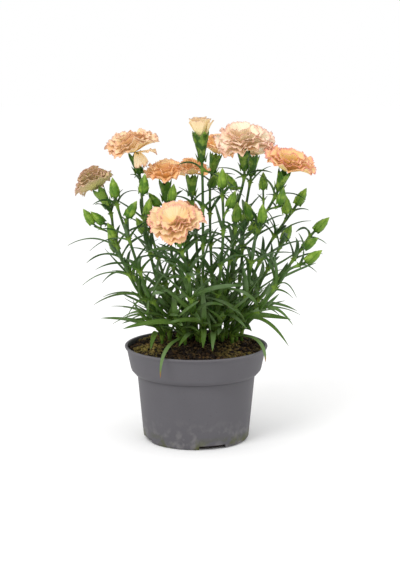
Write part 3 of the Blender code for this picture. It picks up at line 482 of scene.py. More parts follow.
def arching_leaf(main, share, turn, rng, slack):
    """One try at a leaf. slack grows from 0 to 1 with the tries, and lets it stray further."""
    turn += rng.uniform(-1, 1) * (0.2 + 0.5 * slack)
    base, way, out, height = setting_out(main, share, turn)
    opening = math.radians(rng.uniform(20, 42))
    start = unit(way * math.cos(opening) + out * math.sin(opening))
    droop = math.radians(rng.uniform(-38, 48 - 22 * height) + 30 * slack * rng.uniform(-0.5, 1))
    flat = unit([out[0], out[1], 0.0])
    end = unit(flat * math.cos(droop) + UP * math.sin(droop))
    size = rng.uniform(0.86, 1.12) * (1 - 0.35 * slack)
    points = arch(base, start, end, usual_length(height) * size)
    return Leaf(points, unit(np.cross(way, out)), usual_width(height), rng.uniform(-0.9, 0.9)), turn


def reaching_leaf(main, share, reach, rng, slack):
    """One try at a leaf with a given tip, which may stray by a few millimetres."""
    base, way = main.at(share), main.way(share)
    stray = np.array([rng.uniform(-2, 2), rng.uniform(-14, 14), rng.uniform(-2, 3)])
    tip = np.array(reach.tip, float) + slack * stray
    out = unit([tip[0] - base[0], tip[1] - base[1], 0.0])
    points = reach_line(base, tip, reach.rise, reach.bend)
    return Leaf(points, unit(np.cross(way, out)), reach.width, 0.3), math.atan2(out[1], out[0])


def first_turn(shoot):
    """The way the lowest leaf pair faces. Each pair above stands at right angles to the last."""
    return random.Random(shoot.name).uniform(0, math.pi)


def place(room, owner, leaves, make, seed, tries=LEAF_TRIES, clear=LEAF_CLEAR):
    """Adds to leaves the first of several tries at one that keeps clear of all else, if any does."""
    rng = random.Random(seed)
    for attempt in range(tries):
        leaf, turn = make(rng, attempt / (tries - 1))
        balls = leaf.balls(CLEAR_FROM)
        own = room.owners == owner
        if (pot_is_clear(leaf.points) and room.free(*balls, ~own, clear)
                and room.free(*leaf.balls(STEM_CLEAR_FROM), own, OWN_CLEAR)
                and room.free(*leaf.balls(LEAF_CLEAR_FROM), own & room.leafy, OWN_CLEAR)):
            room.add(*balls, owner, True)
            leaves.append((leaf, turn))
            return


def plan():
    """For each shoot its lines and its leaves by knot, bent clear of every other shoot."""
    room, planned = Room(), []
    for owner, shoot in enumerate(SHOOTS):
        main, sides = lines_of(shoot)
        for line in (main, *sides):
            shares = np.linspace(0, 1, max(3, int(line.length / 3)))
            room.add([line.at(s) for s in shares], np.full(len(shares), STEM_RADIUS_LOW), owner)
        if shoot.top != "tuft":
            room.add(*head_balls(main.at(1), shoot.axis, shoot.top), owner)
        for side, line in zip(shoot.sides, sides):
            room.add(*head_balls(line.at(1), side.axis, "bud"), owner)
        planned.append((shoot, main, sides, {k: [] for k in range(shoot.pairs)}))
    for owner, (shoot, main, _, leaves) in enumerate(planned):
        shares = knot_shares(shoot, main)
        for reach in REACHES.get(shoot.name, []):
            share = shares[reach.knot]
            place(room, owner, leaves[reach.knot],
                  lambda rng, slack: reaching_leaf(main, share, reach, rng, slack),
                  f"{shoot.name} reach {reach.knot}")
    for owner, (shoot, main, _, leaves) in enumerate(planned):
        for number, share in enumerate(knot_shares(shoot, main)):
            pair = leaves[number]
            turn = pair[0][1] + math.pi if pair else first_turn(shoot) + math.pi / 2 * (number % 2)
            for half in range(len(pair), 2):
                place(room, owner, pair, lambda rng, slack: arching_leaf(main, share, turn, rng, slack),
                      f"{shoot.name} {number} {half}")
                turn += math.pi
    return planned, room


def turned_solid(profile, sides):
    """Points and faces of a closed profile of (radius, z) turned about Z. A radius of 0 is one point."""
    points, rings = [], []
    for radius, z in profile:
        if radius == 0:
            rings.append([len(points)] * sides)
            points.append((0, 0, z))
            continue
        rings.append(list(range(len(points), len(points) + sides)))
        for k in range(sides):
            a = math.tau * k / sides
            points.append((radius * math.cos(a), radius * math.sin(a), z))
    faces = []
    for low, high in zip(rings, rings[1:]):
        for k in range(sides):
            n = (k + 1) % sides
            corners = tuple(dict.fromkeys((low[k], low[n], high[n], high[k])))
            if len(corners) > 2:
                faces.append(corners)
    return points, faces


def frame_of(axis, spin=0.0):
    """Three unit vectors with the last along axis."""
    z = unit(axis)
    x = unit(np.cross((0.37, 0.85, 0.21), z))
    x = turned(x, z, spin)
    return np.array([x, np.cross(z, x), z])


def soil_height(x, y):
    """The soil's top: heaped to the middle, higher at the back, and lumpy."""
    r = math.hypot(x, y) / RIM_RADIUS
    lumps = (0.8 * math.sin(0.23 * x + 0.8) * math.sin(0.21 * y + 2.1)
             + 0.6 * math.sin(0.39 * x - 0.33 * y + 1.0) + 0.4 * math.sin(0.61 * y + 0.47 * x))
    back = 2.4 * max(0.0, y / RIM_RADIUS) * r
    return SOIL_EDGE_Z + SOIL_HEAP * (1 - r * r) + back + lumps * (1 - 0.5 * r)


# Finer pieces


class Builder:
    """Gathers points in millimetres, faces and per-point values, and makes one piece of them."""

    def __init__(self):
        self.points, self.faces, self.values, self.count = [], [], [], 0

    def add(self, points, faces, values):
        """faces is (n, corners), and values is (points, 3): what the material reads at each point."""
        self.points.append(points)
        self.faces.append(faces + self.count)
        self.values.append(values)
        self.count += len(points)

    def add_tube(self, grid, values, foot=True):
        """A grid of points, (rows, columns, 3), closed round its columns, and at its head and foot."""
        rows, columns = grid.shape[:2]
        face = np.arange(columns)[None]
        self.add(grid.reshape(-1, 3), grid_quads(rows, columns, True), values.reshape(-1, 3))
        self.add(grid[-1], face, values[-1])
        if foot:
            self.add(grid[0], face[:, ::-1], values[0])

    def add_sheet(self, grid, values, thickness):
        """A grid of points, given a thickness below it."""
        rows, columns = grid.shape[:2]
        quads = grid_quads(rows, columns, False)
        under = grid - grid_normals(grid) * thickness
        n = rows * columns
        rim = border_of(rows, columns)
        after = np.roll(rim, -1)
        walls = np.stack([after, rim, rim + n, after + n], axis=1)
        points = np.concatenate([grid.reshape(-1, 3), under.reshape(-1, 3)])
        both = np.concatenate([quads, quads[:, ::-1] + n, walls])
        self.add(points, both, np.concatenate([values.reshape(-1, 3)] * 2))

    def piece(self, name, look, node, slot):
        """The piece rides on the plant's one body and stands for the node."""
        points = np.concatenate(self.points) * MM
        starts, total = [], 0
        for faces in self.faces:
            starts.append(total + np.arange(0, faces.size, faces.shape[1]))
            total += faces.size
        loops = np.concatenate([faces.reshape(-1) for faces in self.faces])
        starts = np.concatenate(starts)
        mesh = bpy.data.meshes.new(name)
        mesh.vertices.add(len(points))
        mesh.vertices.foreach_set("co", points.astype(np.float32).ravel())
        mesh.loops.add(total)
        mesh.loops.foreach_set("vertex_index", loops.astype(np.int32))
        mesh.polygons.add(len(starts))
        mesh.polygons.foreach_set("loop_start", starts.astype(np.int32))
        mesh.update(calc_edges=True)
        mesh.validate()
        place = mesh.attributes.new("place", "FLOAT_VECTOR", "POINT")
        place.data.foreach_set("vector", np.concatenate(self.values).astype(np.float32).ravel())
        mesh.shade_smooth()
        mesh.materials.append(look)
        made = linked(name, mesh)
        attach(made, "root")
        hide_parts(node)


def linked(name, data):
    """A new object in the scene."""
    made = bpy.data.objects.new(name, data)
    bpy.context.scene.collection.objects.link(made)
    return made


def around(count):
    """Angles, evenly spread over one turn."""
    return np.linspace(0, math.tau, count, endpoint=False)


def stacked(*parts):
    """Numbers and arrays, each stretched over the whole grid, as the last axis of one array."""
    return np.stack(np.broadcast_arrays(*parts), axis=-1)


def round_axis(radius, angle, z):
    """Points at a radius, an angle and a height."""
    return stacked(radius * np.cos(angle), radius * np.sin(angle), z)


def grid_quads(rows, columns, wrap):
    """Faces of a grid, out to the side where its rows climb and its columns run counterclockwise."""
    r = np.arange(rows - 1)[:, None] * columns
    c = np.arange(columns if wrap else columns - 1)[None]
    n = (c + 1) % columns
    return np.stack([r + c, r + n, r + n + columns, r + c + columns], axis=-1).reshape(-1, 4)


def border_of(rows, columns):
    """The points round a grid's edge."""
    last = rows * columns - 1
    return np.concatenate([
        np.arange(0, columns), np.arange(2 * columns - 1, last, columns),
        np.arange(last, last - columns, -1), np.arange(last - 2 * columns + 1, 0, -columns)])


def grid_normals(grid):
    """The direction square to a grid at each of its points."""
    down = np.gradient(grid, axis=0)
    across = np.gradient(grid, axis=1)
    normals = np.cross(across, down)
    size = np.linalg.norm(normals, axis=2, keepdims=True)
    return normals / np.maximum(size, 1e-9)


def ramp(x, *stops):
    """A smooth curve through (x, value) stops, read at each x of an array."""
    xs, ys = zip(*stops)
    t = np.clip(np.interp(x, xs, np.arange(len(xs))), 0, len(xs) - 1 - 1e-9)
    k = t.astype(int)
    f = t - k
    f = f * f * (3 - 2 * f)
    ys = np.asarray(ys)
    return ys[k] * (1 - f) + ys[k + 1] * f


def ring_points(centre, way, radius, sides, facing=(0.2, 1, 0.1)):
    """Points round a centre."""
    side = unit(np.cross(way, facing))
    other = np.cross(way, side)
    a = around(sides)[:, None]
    return centre + radius * (np.cos(a) * side + np.sin(a) * other)


def add_stem(builder, line, radius_at, knots, sides, foot=None, pitch=2.2):
    """A round stem with swollen joints. place is (distance from a joint, share of the height, 0)."""
    rings, values = [], []
    if foot:
        for z in np.linspace(PEG_FOOT_Z, SHOOT_FOOT_Z - 2, 5):
            rings.append(ring_points(np.array([*foot, z]), UP, radius_at(0), sides))
            values.append((1.0, 0.0, 0.0))
    for share in np.linspace(0, 1, max(6, int(line.length / pitch)) + 1):
        point = line.at(share)
        near = min(abs(share - k) * line.length for k in knots)
        above = min([(share - k) * line.length for k in knots if share >= k], default=99.0)
        knot, sheath = math.exp(-(near / KNOT_REACH) ** 2), math.exp(-(above / SHEATH_REACH) ** 2)
        swell = 1 + 0.34 * knot + 0.12 * sheath
        rings.append(ring_points(point, line.way(share), radius_at(share) * swell, sides))
        values.append((min(1.0, near / PALE_REACH), point[2] / STEM_TOP_Z, 0.0))
    builder.add_tube(np.array(rings), np.repeat(np.array(values)[:, None], sides, axis=1), False)


def leaf_half(leaf, share):
    """The blade's half width: wide where it clasps the stem, and full almost to its point."""
    swell = min(1.0, 0.62 + 1.9 * share)
    blade = leaf.width / 2 * LEAF_FULLNESS * swell * (1 - share ** 3.6) ** 0.85
    clasp = CLASP_HALF * (1 - min(1.0, share / 0.16)) ** 0.7
    return max(blade, clasp, 0.1)


# A blade's section: where its points stand across it, from edge to edge above and back below
SECTION = np.array([-1, -0.55, 0, 0.55, 1, 0.55, 0, -0.55])
SECTION_UPPER = np.array([1, 1, 1, 1, 1, 0, 0, 0], bool)


def add_leaf(builder, leaf, tone, brown=0.0, stations=LEAF_STATIONS):
    """A channelled blade with a keel. place is (share of its length, across it, tone)."""
    rng = random.Random(round(tone * 1e6))
    ripple, phase, channel = rng.uniform(0.02, 0.12), rng.uniform(0, math.tau), rng.uniform(0.30, 0.62)
    edge = np.abs(SECTION)
    rows, values = [], []
    for share in np.linspace(0.0, 1.0, stations) ** 1.15:
        point, side, above = leaf.at(share)
        half = leaf_half(leaf, share)
        fold = half * (channel + 0.9 * max(0.0, 1 - share * 5)) * (1 - 0.45 * share)
        wave = half * ripple * math.sin(share * 9 + phase)
        thick = 0.32 + 0.6 * (1 - share)
        height = fold * edge ** 1.4 + wave * SECTION
        height = height - np.where(SECTION_UPPER, 0.0, thick * (1 - 0.75 * edge))
        height = height - np.where(SECTION == 0, 0.12 * half, 0.0) * SECTION_UPPER
        height = np.where(edge == 1, height - 0.08, height)
        rows.append(point + side * (SECTION[:, None] * half) + above * height[:, None])
        values.append(stacked(share, SECTION * np.where(SECTION_UPPER, 1, -1), tone + brown))
    builder.add_tube(np.array(rows)[:, ::-1], np.array(values)[:, ::-1], False)


def add_scale(builder, base, frame, turn, scale, size, tone):
    """A pointed scale pressed against a calyx."""
    u = np.linspace(0, 1, SCALE_ROWS)[:, None]
    v = np.linspace(-1, 1, SCALE_COLUMNS)[None]
    swell = np.sin(np.pi * np.clip(0.18 + 0.82 * u, 0, 1) ** 0.85) ** 0.8
    half = np.maximum(scale.width * size / 2 * swell * (1 - u) ** 0.25, 0.08)
    radius = scale.radius * size + scale.lean * size * u ** 1.6 + 0.175 * (1 - v * v)
    local = round_axis(radius, turn + v * half / np.maximum(radius, 1.0), scale.z + scale.length * size * u)
    builder.add_sheet(base + local @ frame, stacked(0.55 + 0.45 * u, v, tone), SCALE_THICK)


def add_scales(builder, base, frame, first_turn, scales, size, tone):
    """Two pairs of scales, one inside the other."""
    for k in range(4):
        add_scale(builder, base, frame, first_turn + k * math.pi / 2, scales[k % 2], size, tone)


def add_bud(builder, base, axis, size, tone):
    """A closed bud: five sepals' ribs drawn to a point, and scales at its foot.

    place is (share of its length, across a rib, tone).
    """
    frame = frame_of(axis)
    t = np.linspace(0, 1, BUD_ROWS)[:, None]
    a = around(BUD_SIDES)[None]
    body = ramp(t, (0, 0.16), (0.10, 0.72), (0.28, 0.99), (0.45, 1.0), (0.66, 0.80), (0.84, 0.42),
                (0.95, 0.17), (1.0, 0.03))
    seam = np.abs(np.sin(2.5 * a + 1.4 * t))
    radius = BUD_RADIUS * size * body * (0.90 + 0.12 * seam ** 0.6)
    local = round_axis(radius, a, -HEAD_SINK * size + (BUD_LENGTH + HEAD_SINK) * size * t)
    builder.add_tube(base + local @ frame, stacked(t, seam, tone))
    add_scales(builder, base, frame, 0.4, BUD_SCALES, size, tone)


def add_calyx(builder, base, axis, length, radius, tone):
    """A ribbed green tube whose rim is cut into pointed teeth, open above, with scales at its foot."""
    frame = frame_of(axis)
    t = np.linspace(0, 1, CALYX_ROWS)[:, None]
    a = around(CALYX_SIDES)[None]
    body = ramp(t, (0, 1.6), (0.10, CALYX_WAIST * 0.78), (0.30, CALYX_WAIST),
                (0.62, (CALYX_WAIST + radius) / 2), (0.85, radius * 0.96), (1.0, radius * 1.03))
    tooth = 1 - np.abs(((a * CALYX_TEETH / math.tau) % 1) * 2 - 1)
    rise = (tooth ** 1.2 * 4.6 - 2.6) * np.clip((t - 0.6) / 0.4, 0, 1)
    outer = body * (1 + 0.018 * np.cos(30 * a)) + 0.5 * tooth * np.clip((t - 0.8) / 0.2, 0, 1)

    def and_back(rows, shift=0.0):
        """The rows up the outside, and on down the inside almost to the foot."""
        return np.concatenate([rows, (rows - shift)[::-1][:-4]])

    z = and_back(-HEAD_SINK + (length + HEAD_SINK) * t + rise)
    local = round_axis(and_back(outer, CALYX_WALL), a, z)
    values = stacked(and_back(t) * 0.85, np.abs(np.sin(15 * a)), tone)
    builder.add_tube(base + local @ frame, values)
    add_scales(builder, base, frame, 0.3, CALYX_SCALES, 1.0, tone)


# Blooms

# How far the four waves that neighbours share drift from a bloom's lowest petal to its innermost
SWAY_DRIFT = np.array([1.2, 1.6, 3.0, 5.0])


def draws(rng, count, spread):
    """Random numbers between -spread and spread."""
    return np.array([rng.uniform(-spread, spread) for _ in range(count)])


def bloom_petals(bloom, rng):
    """Each petal's arch, from the lowest and widest to the innermost: a dict of arrays."""
    lift, hollow, tall, wide = BLOOM_SHAPES.get(bloom.name, USUAL_SHAPE)
    radius, h = bloom.radius * wide, bloom.radius * bloom.dome * tall
    n = BLOOM_PETALS
    t = np.linspace(0, 1, n)
    climb = (1 - hollow) * t ** 0.9 + hollow * np.sin(np.clip(t / 0.45, 0, 1) * math.pi / 2)
    r2 = radius * (1.0 - 0.62 * t ** 1.6) * (1 + draws(rng, n, 0.08))
    z2 = 2.5 + 3.5 * t + radius * lift + (h - radius * lift) * (0.02 + climb) + draws(rng, n, 0.09 * radius)
    sway = np.array([rng.uniform(0, math.tau) for _ in SWAY_DRIFT])
    bulge = 0.17 - 0.80 * lift - 0.20 * t * t - 0.30 * hollow * t
    return {
        "turn": t * (n - 1) * GOLDEN + draws(rng, n, 0.3),
        "r0": 2.5 - 1.6 * t, "z0": 1.2 + 5.0 * t,
        "r1": r2 * (0.55 - 0.20 * t), "z1": z2 + radius * bulge + draws(rng, n, 0.04 * radius),
        "r2": r2, "z2": z2, "rho": radius * (0.68 - 0.20 * t),
        "half": radius * (0.70 - 0.26 * t) * (1 + draws(rng, n, 0.12)),
        "slow": radius * SLOW_RUFFLE * (1 + draws(rng, n, 0.3)),
        "quick": r2 * QUICK_RUFFLE * (1 + draws(rng, n, 0.4)),
        "crimp": r2 * CRIMP * (1 + draws(rng, n, 0.5)), "own": np.full(n, radius * OWN_RUFFLE),
        "phase": draws(rng, n, math.pi), "sway": sway + t[:, None] * SWAY_DRIFT,
        "tone": 0.5 + draws(rng, n, 0.5),
    }


def opening_petals(rng):
    """The same for the furled petals that stand up out of the opening bud."""
    n = OPENING_PETALS
    t = np.linspace(0, 1, n)
    return {
        "turn": np.arange(n) * GOLDEN + draws(rng, n, 0.2),
        "r0": 4.6 - 2.6 * t, "z0": -4.0 + 2.0 * t, "r1": 8.2 - 5.2 * t, "z1": 5.0 + 3.0 * t,
        "r2": 13.2 - 9.0 * t + draws(rng, n, 0.8), "z2": 12.0 + 2.6 * t + draws(rng, n, 1.2),
        "half": 8.2 - 3.4 * t, "rho": 9.0 - 2.5 * t,
        "slow": np.full(n, 0.7), "quick": 0.35 - 0.2 * t, "crimp": 0.22 - 0.1 * t, "own": np.full(n, 0.3),
        "phase": draws(rng, n, math.pi), "sway": t[:, None] * SWAY_DRIFT, "tone": 0.5 + draws(rng, n, 0.5),
    }


def petal_grid(petals, k, rng):
    """The upper side of one petal and its values, with a toothed fringe.

    place is (share of its length, where across it and which petal, tone).
    """
    g = {name: value[k] for name, value in petals.items()}
    u = (np.linspace(0, 1, PETAL_ROWS) ** 0.75)[:, None]
    v = np.linspace(-1, 1, PETAL_COLUMNS)[None]
    limits = ((0.0, 0.2), (0.3, 1.0))
    teeth = np.array([rng.uniform(*limits[c % 2]) for c in range(PETAL_COLUMNS)])
    cut = TOOTH * teeth * np.clip((u - FRINGE_FROM) / FRINGE, 0, 1)
    reach = u * (1 - 0.11 * np.abs(v) ** 2.6) * (1 - cut)
    radius, z = (
        (1 - reach) ** 2 * g[way + "0"] + 2 * reach * (1 - reach) * g[way + "1"] + reach ** 2 * g[way + "2"]
        for way in "rz")
    angle = g["half"] * (0.10 + 0.90 * u ** 0.85) * v / g["rho"]
    y = g["rho"] * np.sin(angle)
    turn = g["turn"] + np.arctan2(y, radius - g["rho"] + g["rho"] * np.cos(angle))
    wave = ruffle(turn, u, g) - 0.10 * g["half"] * u * v * v
    lean = unit([g["r2"] - g["r0"], g["z2"] - g["z0"]])
    x = radius - lean[1] * wave - g["rho"] + g["rho"] * np.cos(angle)
    c, s = math.cos(g["turn"]), math.sin(g["turn"])
    grid = stacked(x * c - y * s, x * s + y * c, z + lean[0] * wave)
    return grid, stacked(u * (1 - 0.04 * v * v), v + 3.0 * k, 0.02 + 0.96 * g["tone"])


def ruffle(turn, u, g):
    """How far a petal stands off its arch. Neighbours share most of it, so that they nest."""
    a, b, c, d = g["sway"]
    slow = 0.6 * np.sin(3 * turn + a + u) + 0.4 * np.sin(5 * turn + b - u)
    wave = g["slow"] * slow * u ** 1.6
    wave = wave + g["quick"] * np.sin(11 * turn + c + 1.2 * u) * u ** 1.7
    wave = wave + g["crimp"] * np.sin(23 * turn + d) * u ** 4
    return wave + g["own"] * np.sin(4 * turn + g["phase"]) * u ** 1.6


def droop(petals, k, turn, reach, drop, half):
    """Makes one petal hang over the calyx's rim."""
    petals["turn"][k], petals["half"][k], petals["rho"][k] = turn, half, half * 1.2
    petals["r1"][k], petals["z1"][k] = reach * 0.75, 1.5
    petals["r2"][k], petals["z2"][k] = reach, drop
    petals["tone"][k] = 0.0


def dress_petals(shoot, line, looks):
    """The ruffled petals of a bloom, or the furled cream ones of the opening bud."""
    if shoot.top == "opening bud":
        name, height, thickness, slot = "opening_bud", OPENING_LENGTH, OPENING_THICK, "cream_petals"
        rng = random.Random("opening petals")
        petals = opening_petals(rng)
    else:
        name, height, thickness = shoot.top.name, CALYX_LENGTH, PETAL_THICK
        slot = "dusky_petals" if name == "far_left" else "petals"
        rng = random.Random("petals " + name)
        petals = bloom_petals(shoot.top, rng)
    for k, stray in enumerate(STRAY_PETALS.get(name, [])):
        droop(petals, k, *stray)
    frame = frame_of(shoot.axis)
    origin = line.at(1) + frame[2] * height
    builder = Builder()
    for k in range(len(petals["turn"])):
        grid, values = petal_grid(petals, k, rng)
        builder.add_sheet(origin + grid @ frame, values, thickness)
    builder.piece("bloom_" + name, looks[name], "petals_" + name, slot)


# Shoots


def add_bracts(builder, line, share):
    """Two small leaves at a joint of a side stalk."""
    rng = random.Random(round(line.length * 1e3))
    turn = rng.uniform(0, math.pi)
    way = line.way(share)
    for k in range(2):
        out = np.array([math.cos(turn + k * math.pi), math.sin(turn + k * math.pi), 0.25])
        points = arch(line.at(share), way + out * 0.8, out + way * 0.6, rng.uniform(6, 9))
        leaf = Leaf(points, unit(np.cross(way, out)), BRACT_WIDTH)
        add_leaf(builder, leaf, rng.random(), stations=BRACT_STATIONS)


def young_leaf(main, share, turn, rng, slack):
    """One try at a leaf of a young side shoot: short, and held close to its stem."""
    turn += rng.uniform(-1, 1) * (0.4 + 0.5 * slack)
    base, way, out, height = setting_out(main, share, turn)
    opening = math.radians(rng.uniform(12, 30))
    start = unit(way * math.cos(opening) + out * math.sin(opening))
    end = unit(out * math.cos(opening * 2.2) + UP * math.sin(math.radians(rng.uniform(0, 60))))
    points = arch(base, start, end, usual_length(height) * rng.uniform(0.50, 0.92) * (1 - 0.35 * slack))
    width = usual_width(height) * 0.85
    return Leaf(points, unit(np.cross(way, out)), width, rng.uniform(-0.8, 0.8)), turn


def fill(planned, room):
    """Young leaves between the pairs, wherever there is room for them."""
    for owner, (shoot, main, _, leaves) in enumerate(planned):
        for number, share in enumerate(knot_shares(shoot, main)):
            if share > YOUNG_LEAVES_TO:
                continue
            turn = (leaves[number][0][1] if leaves[number] else 0.0) + math.pi / 2
            for half in range(YOUNG_LEAVES):
                place(room, owner, leaves[number],
                      lambda rng, slack: young_leaf(main, share, turn, rng, slack),
                      f"{shoot.name} young {number} {half}", YOUNG_TRIES, YOUNG_CLEAR)
                turn += math.pi if half != 1 else math.pi / 2


def stem_radius(share):
    """A main stem's radius at a share of its length."""
    return STEM_SLENDER * (STEM_RADIUS_LOW + (STEM_RADIUS_HIGH - STEM_RADIUS_LOW) * share)


def dress_shoot(shoot, main, sides, leaves, looks):
    """A shoot's stems, its leaves and its buds, as three pieces in place of one node."""
    stems, blades, heads = Builder(), Builder(), Builder()
    add_stem(stems, main, stem_radius, knot_shares(shoot, main), STEM_SIDES, shoot.foot)
    for side, line in zip(shoot.sides, sides):
        add_stem(stems, line, lambda share: STALK_RADIUS, [0.0, BRACTS_AT], STALK_SIDES, pitch=1.4)
        add_bracts(blades, line, BRACTS_AT)
        size = 0.92 + 0.16 * random.Random(str(side.tip)).random()
        add_bud(heads, line.at(1), side.axis, size, random.Random(str(side.axis)).random())
    rng = random.Random("leaves of " + shoot.name)
    for number, pair in leaves.items():
        for leaf, _ in pair:
            scorched = (shoot.name, number) in BROWN_TIPS and leaf.points[-1][2] < BROWN_BELOW_Z
            add_leaf(blades, leaf, rng.uniform(0.02, 0.98), 1.0 if scorched else 0.0)
    tone = rng.random()
    if shoot.top == "bud":
        add_bud(heads, main.at(1), shoot.axis, TOP_BUD_SIZE, tone)
    elif shoot.top == "opening bud":
        add_calyx(heads, main.at(1), shoot.axis, OPENING_LENGTH, OPENING_RADIUS, -0.8)
    elif shoot.top != "tuft":
        add_calyx(heads, main.at(1), shoot.axis, CALYX_LENGTH, CALYX_RADIUS, tone - 0.7)
    for kind, builder in (("stem", stems), ("leaves", blades), ("buds", heads)):
        if builder.count:
            builder.piece(f"{kind}_{shoot.name}", looks[kind], "shoot_" + shoot.name, "foliage")


# Pot and soil


def arc(centre, radius, start, end, steps):
    """Points on an arc in the profile's plane, from one angle in degrees to the other."""
    a = np.radians(np.linspace(start, end, steps))
    return [(centre[0] + radius * math.cos(k), centre[1] + radius * math.sin(k)) for k in a]


def pot_profile():
    """The pot's section as (radius, z): up the outside, over the rolled lip, and down the inside."""
    step_r, step_z = COLLAR_FOOT_RADIUS, COLLAR_FOOT_Z
    collar_r = RIM_RADIUS - LIP
    inside_r = collar_r - WALL
    profile = [(0.0, 0.0), (12.0, 0.0), (BASE_RADIUS - 8, 0.0), (BASE_RADIUS - FOOT_ROUND, 0.0)]
    profile += arc((BASE_RADIUS - FOOT_ROUND, FOOT_ROUND), FOOT_ROUND, -80, -4, 7)
    for z in np.linspace(6, BODY_TOP_Z - 1.2, 12):
        profile.append((BASE_RADIUS + (BODY_TOP_RADIUS - BASE_RADIUS) * (z / BODY_TOP_Z), z))
    for out, up in ((0.05, 0.9), (1.5, 0.5), (1.8, 0.25), (2.3, 0.5)):
        profile.append((BODY_TOP_RADIUS + out, BODY_TOP_Z + up))
    profile += [(step_r - 1.3, step_z - 1.5), (step_r - 0.45, step_z - 0.6), (step_r, step_z + 0.5)]
    for z in np.linspace(step_z + 2, POT_HEIGHT - 3.6, 7):
        profile.append((step_r + (collar_r - step_r) * ((z - step_z) / (POT_HEIGHT - step_z)), z))
    profile += [(collar_r + 0.1, POT_HEIGHT - 2.5), (RIM_RADIUS - LIP_ROUND / 2, POT_HEIGHT - 2.1)]
    profile += arc((RIM_RADIUS - LIP_ROUND, POT_HEIGHT - LIP_ROUND), LIP_ROUND, -50, 90, 8)
    profile += arc((inside_r + LIP_ROUND, POT_HEIGHT - LIP_ROUND), LIP_ROUND, 90, 180, 6)
    profile += [(inside_r, POT_HEIGHT - 2.0), (step_r - WALL + 0.4, step_z + 0.4),
                (BODY_TOP_RADIUS - WALL, BODY_TOP_Z + 0.6), (BASE_RADIUS - WALL, WALL + 0.6),
                (BASE_RADIUS - WALL - 0.6, WALL), (0.0, WALL)]
    return profile


def plain_mesh(name, points, faces):
    mesh = bpy.data.meshes.new(name)
    mesh.from_pydata([tuple(np.asarray(p) * MM) for p in points], [], faces)
    return mesh


def drain_boxes():
    """The corners of a box across the pot's foot at each drain notch."""
    for k in range(DRAIN_COUNT):
        a = math.radians(DRAIN_FIRST_DEG) + math.tau * k / DRAIN_COUNT
        out = np.array([math.cos(a), math.sin(a), 0])
        across = np.array([-math.sin(a), math.cos(a), 0])
        yield [out * reach + across * side * DRAIN_WIDTH / 2 + UP * z
               for z in (-2.0, DRAIN_HEIGHT)
               for reach, side in ((DRAIN_NEAR, -1), (DRAIN_FAR, -1), (DRAIN_FAR, 1), (DRAIN_NEAR, 1))]


def cut_drains(body):
    """Cuts the drain notches, with rounded corners, and gives the body the cut mesh."""
    sides = [(k, (k + 1) % 4, (k + 1) % 4 + 4, k + 4) for k in range(4)]
    cutters = bpy.data.collections.new("drain cutters")
    bpy.context.scene.collection.children.link(cutters)
    for corners in drain_boxes():
        box = plain_mesh("drain", corners, [(3, 2, 1, 0), (4, 5, 6, 7), *sides])
        cutter = bpy.data.objects.new("drain", box)
        cutters.objects.link(cutter)
        round_off = cutter.modifiers.new("round", "BEVEL")
        round_off.width = 1.0 * MM
        round_off.segments = 4
    cut_by = body.modifiers.new("drains", "BOOLEAN")
    cut_by.operation = "DIFFERENCE"
    cut_by.operand_type = "COLLECTION"
    cut_by.collection = cutters
    cut_by.solver = "EXACT"
    bpy.context.view_layer.update()
    cut = bpy.data.meshes.new_from_object(body.evaluated_get(bpy.context.evaluated_depsgraph_get()))
    body.modifiers.clear()
    body.data = cut
    for cutter in list(cutters.objects):
        bpy.data.objects.remove(cutter)
    bpy.data.collections.remove(cutters)


def dress_pot(look):
    """The pot's shell, finely turned, with its drain notches cut."""
    body = linked("pot_body", plain_mesh("pot_body", *turned_solid(pot_profile(), POT_SIDES)))
    cut_drains(body)
    body.data.shade_smooth()
    body.data.set_sharp_from_angle(angle=math.radians(38))
    body.data.materials.clear()
    body.data.materials.append(look)
    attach(body, "root")
    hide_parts("pot")


def rough_ball():
    """A ball of 32 faces: an octahedron, divided once."""
    points = [(1, 0, 0), (0, 1, 0), (-1, 0, 0), (0, -1, 0), (0, 0, 1), (0, 0, -1)]
    faces, middle = [], {}

    def between(a, b):
        key = (min(a, b), max(a, b))
        if key not in middle:
            middle[key] = len(points)
            points.append(tuple(unit(np.array(points[a]) + np.array(points[b]))))
        return middle[key]

    corners = [(k, (k + 1) % 4, 4) for k in range(4)] + [((k + 1) % 4, k, 5) for k in range(4)]
    for a, b, c in corners:
        ab, bc, ca = between(a, b), between(b, c), between(c, a)
        faces += [(a, ab, ca), (ab, b, bc), (ca, bc, c), (ab, bc, ca)]
    return np.array(points), np.array(faces)


def fine_soil_height(x, y):
    """The soil's top with its small lumps."""
    fine = (0.55 * math.sin(0.9 * x + 1.7 * y) * math.sin(1.1 * y - 0.6 * x)
            + 0.35 * math.sin(2.1 * x - 1.3 * y + 1.0) + 0.25 * math.sin(3.3 * y + 2.4 * x))
    return soil_height(x, y) + fine * 0.8


def on_soil(rng, reach):
    """A random place on the soil, within reach of its middle."""
    distance, a = reach * math.sqrt(rng.random()), rng.random() * math.tau
    return distance * math.cos(a), distance * math.sin(a)


def add_soil_body(builder):
    """The compost's lumpy surface and its sides, down to the pot's floor."""
    foot_r = BASE_RADIUS - WALL - GAP
    turns = [(math.cos(a), math.sin(a)) for a in around(SOIL_SIDES)]
    rows = [[(foot_r * c, foot_r * s, WALL + GAP) for c, s in turns]]
    for reach, z in ((BODY_TOP_RADIUS - WALL - GAP, BODY_TOP_Z + 0.9), (SOIL_REACH, SOIL_EDGE_Z - 3)):
        rows.append([(reach * c, reach * s, z) for c, s in turns])
    for share in np.linspace(1, 0.012, SOIL_RINGS):
        spots = [(SOIL_REACH * share * c, SOIL_REACH * share * s) for c, s in turns]
        rows.append([(x, y, fine_soil_height(x, y) - 0.4) for x, y in spots])
    grid = np.array(rows)
    builder.add_tube(grid, np.zeros(grid.shape) + (0.25, 0, 0))


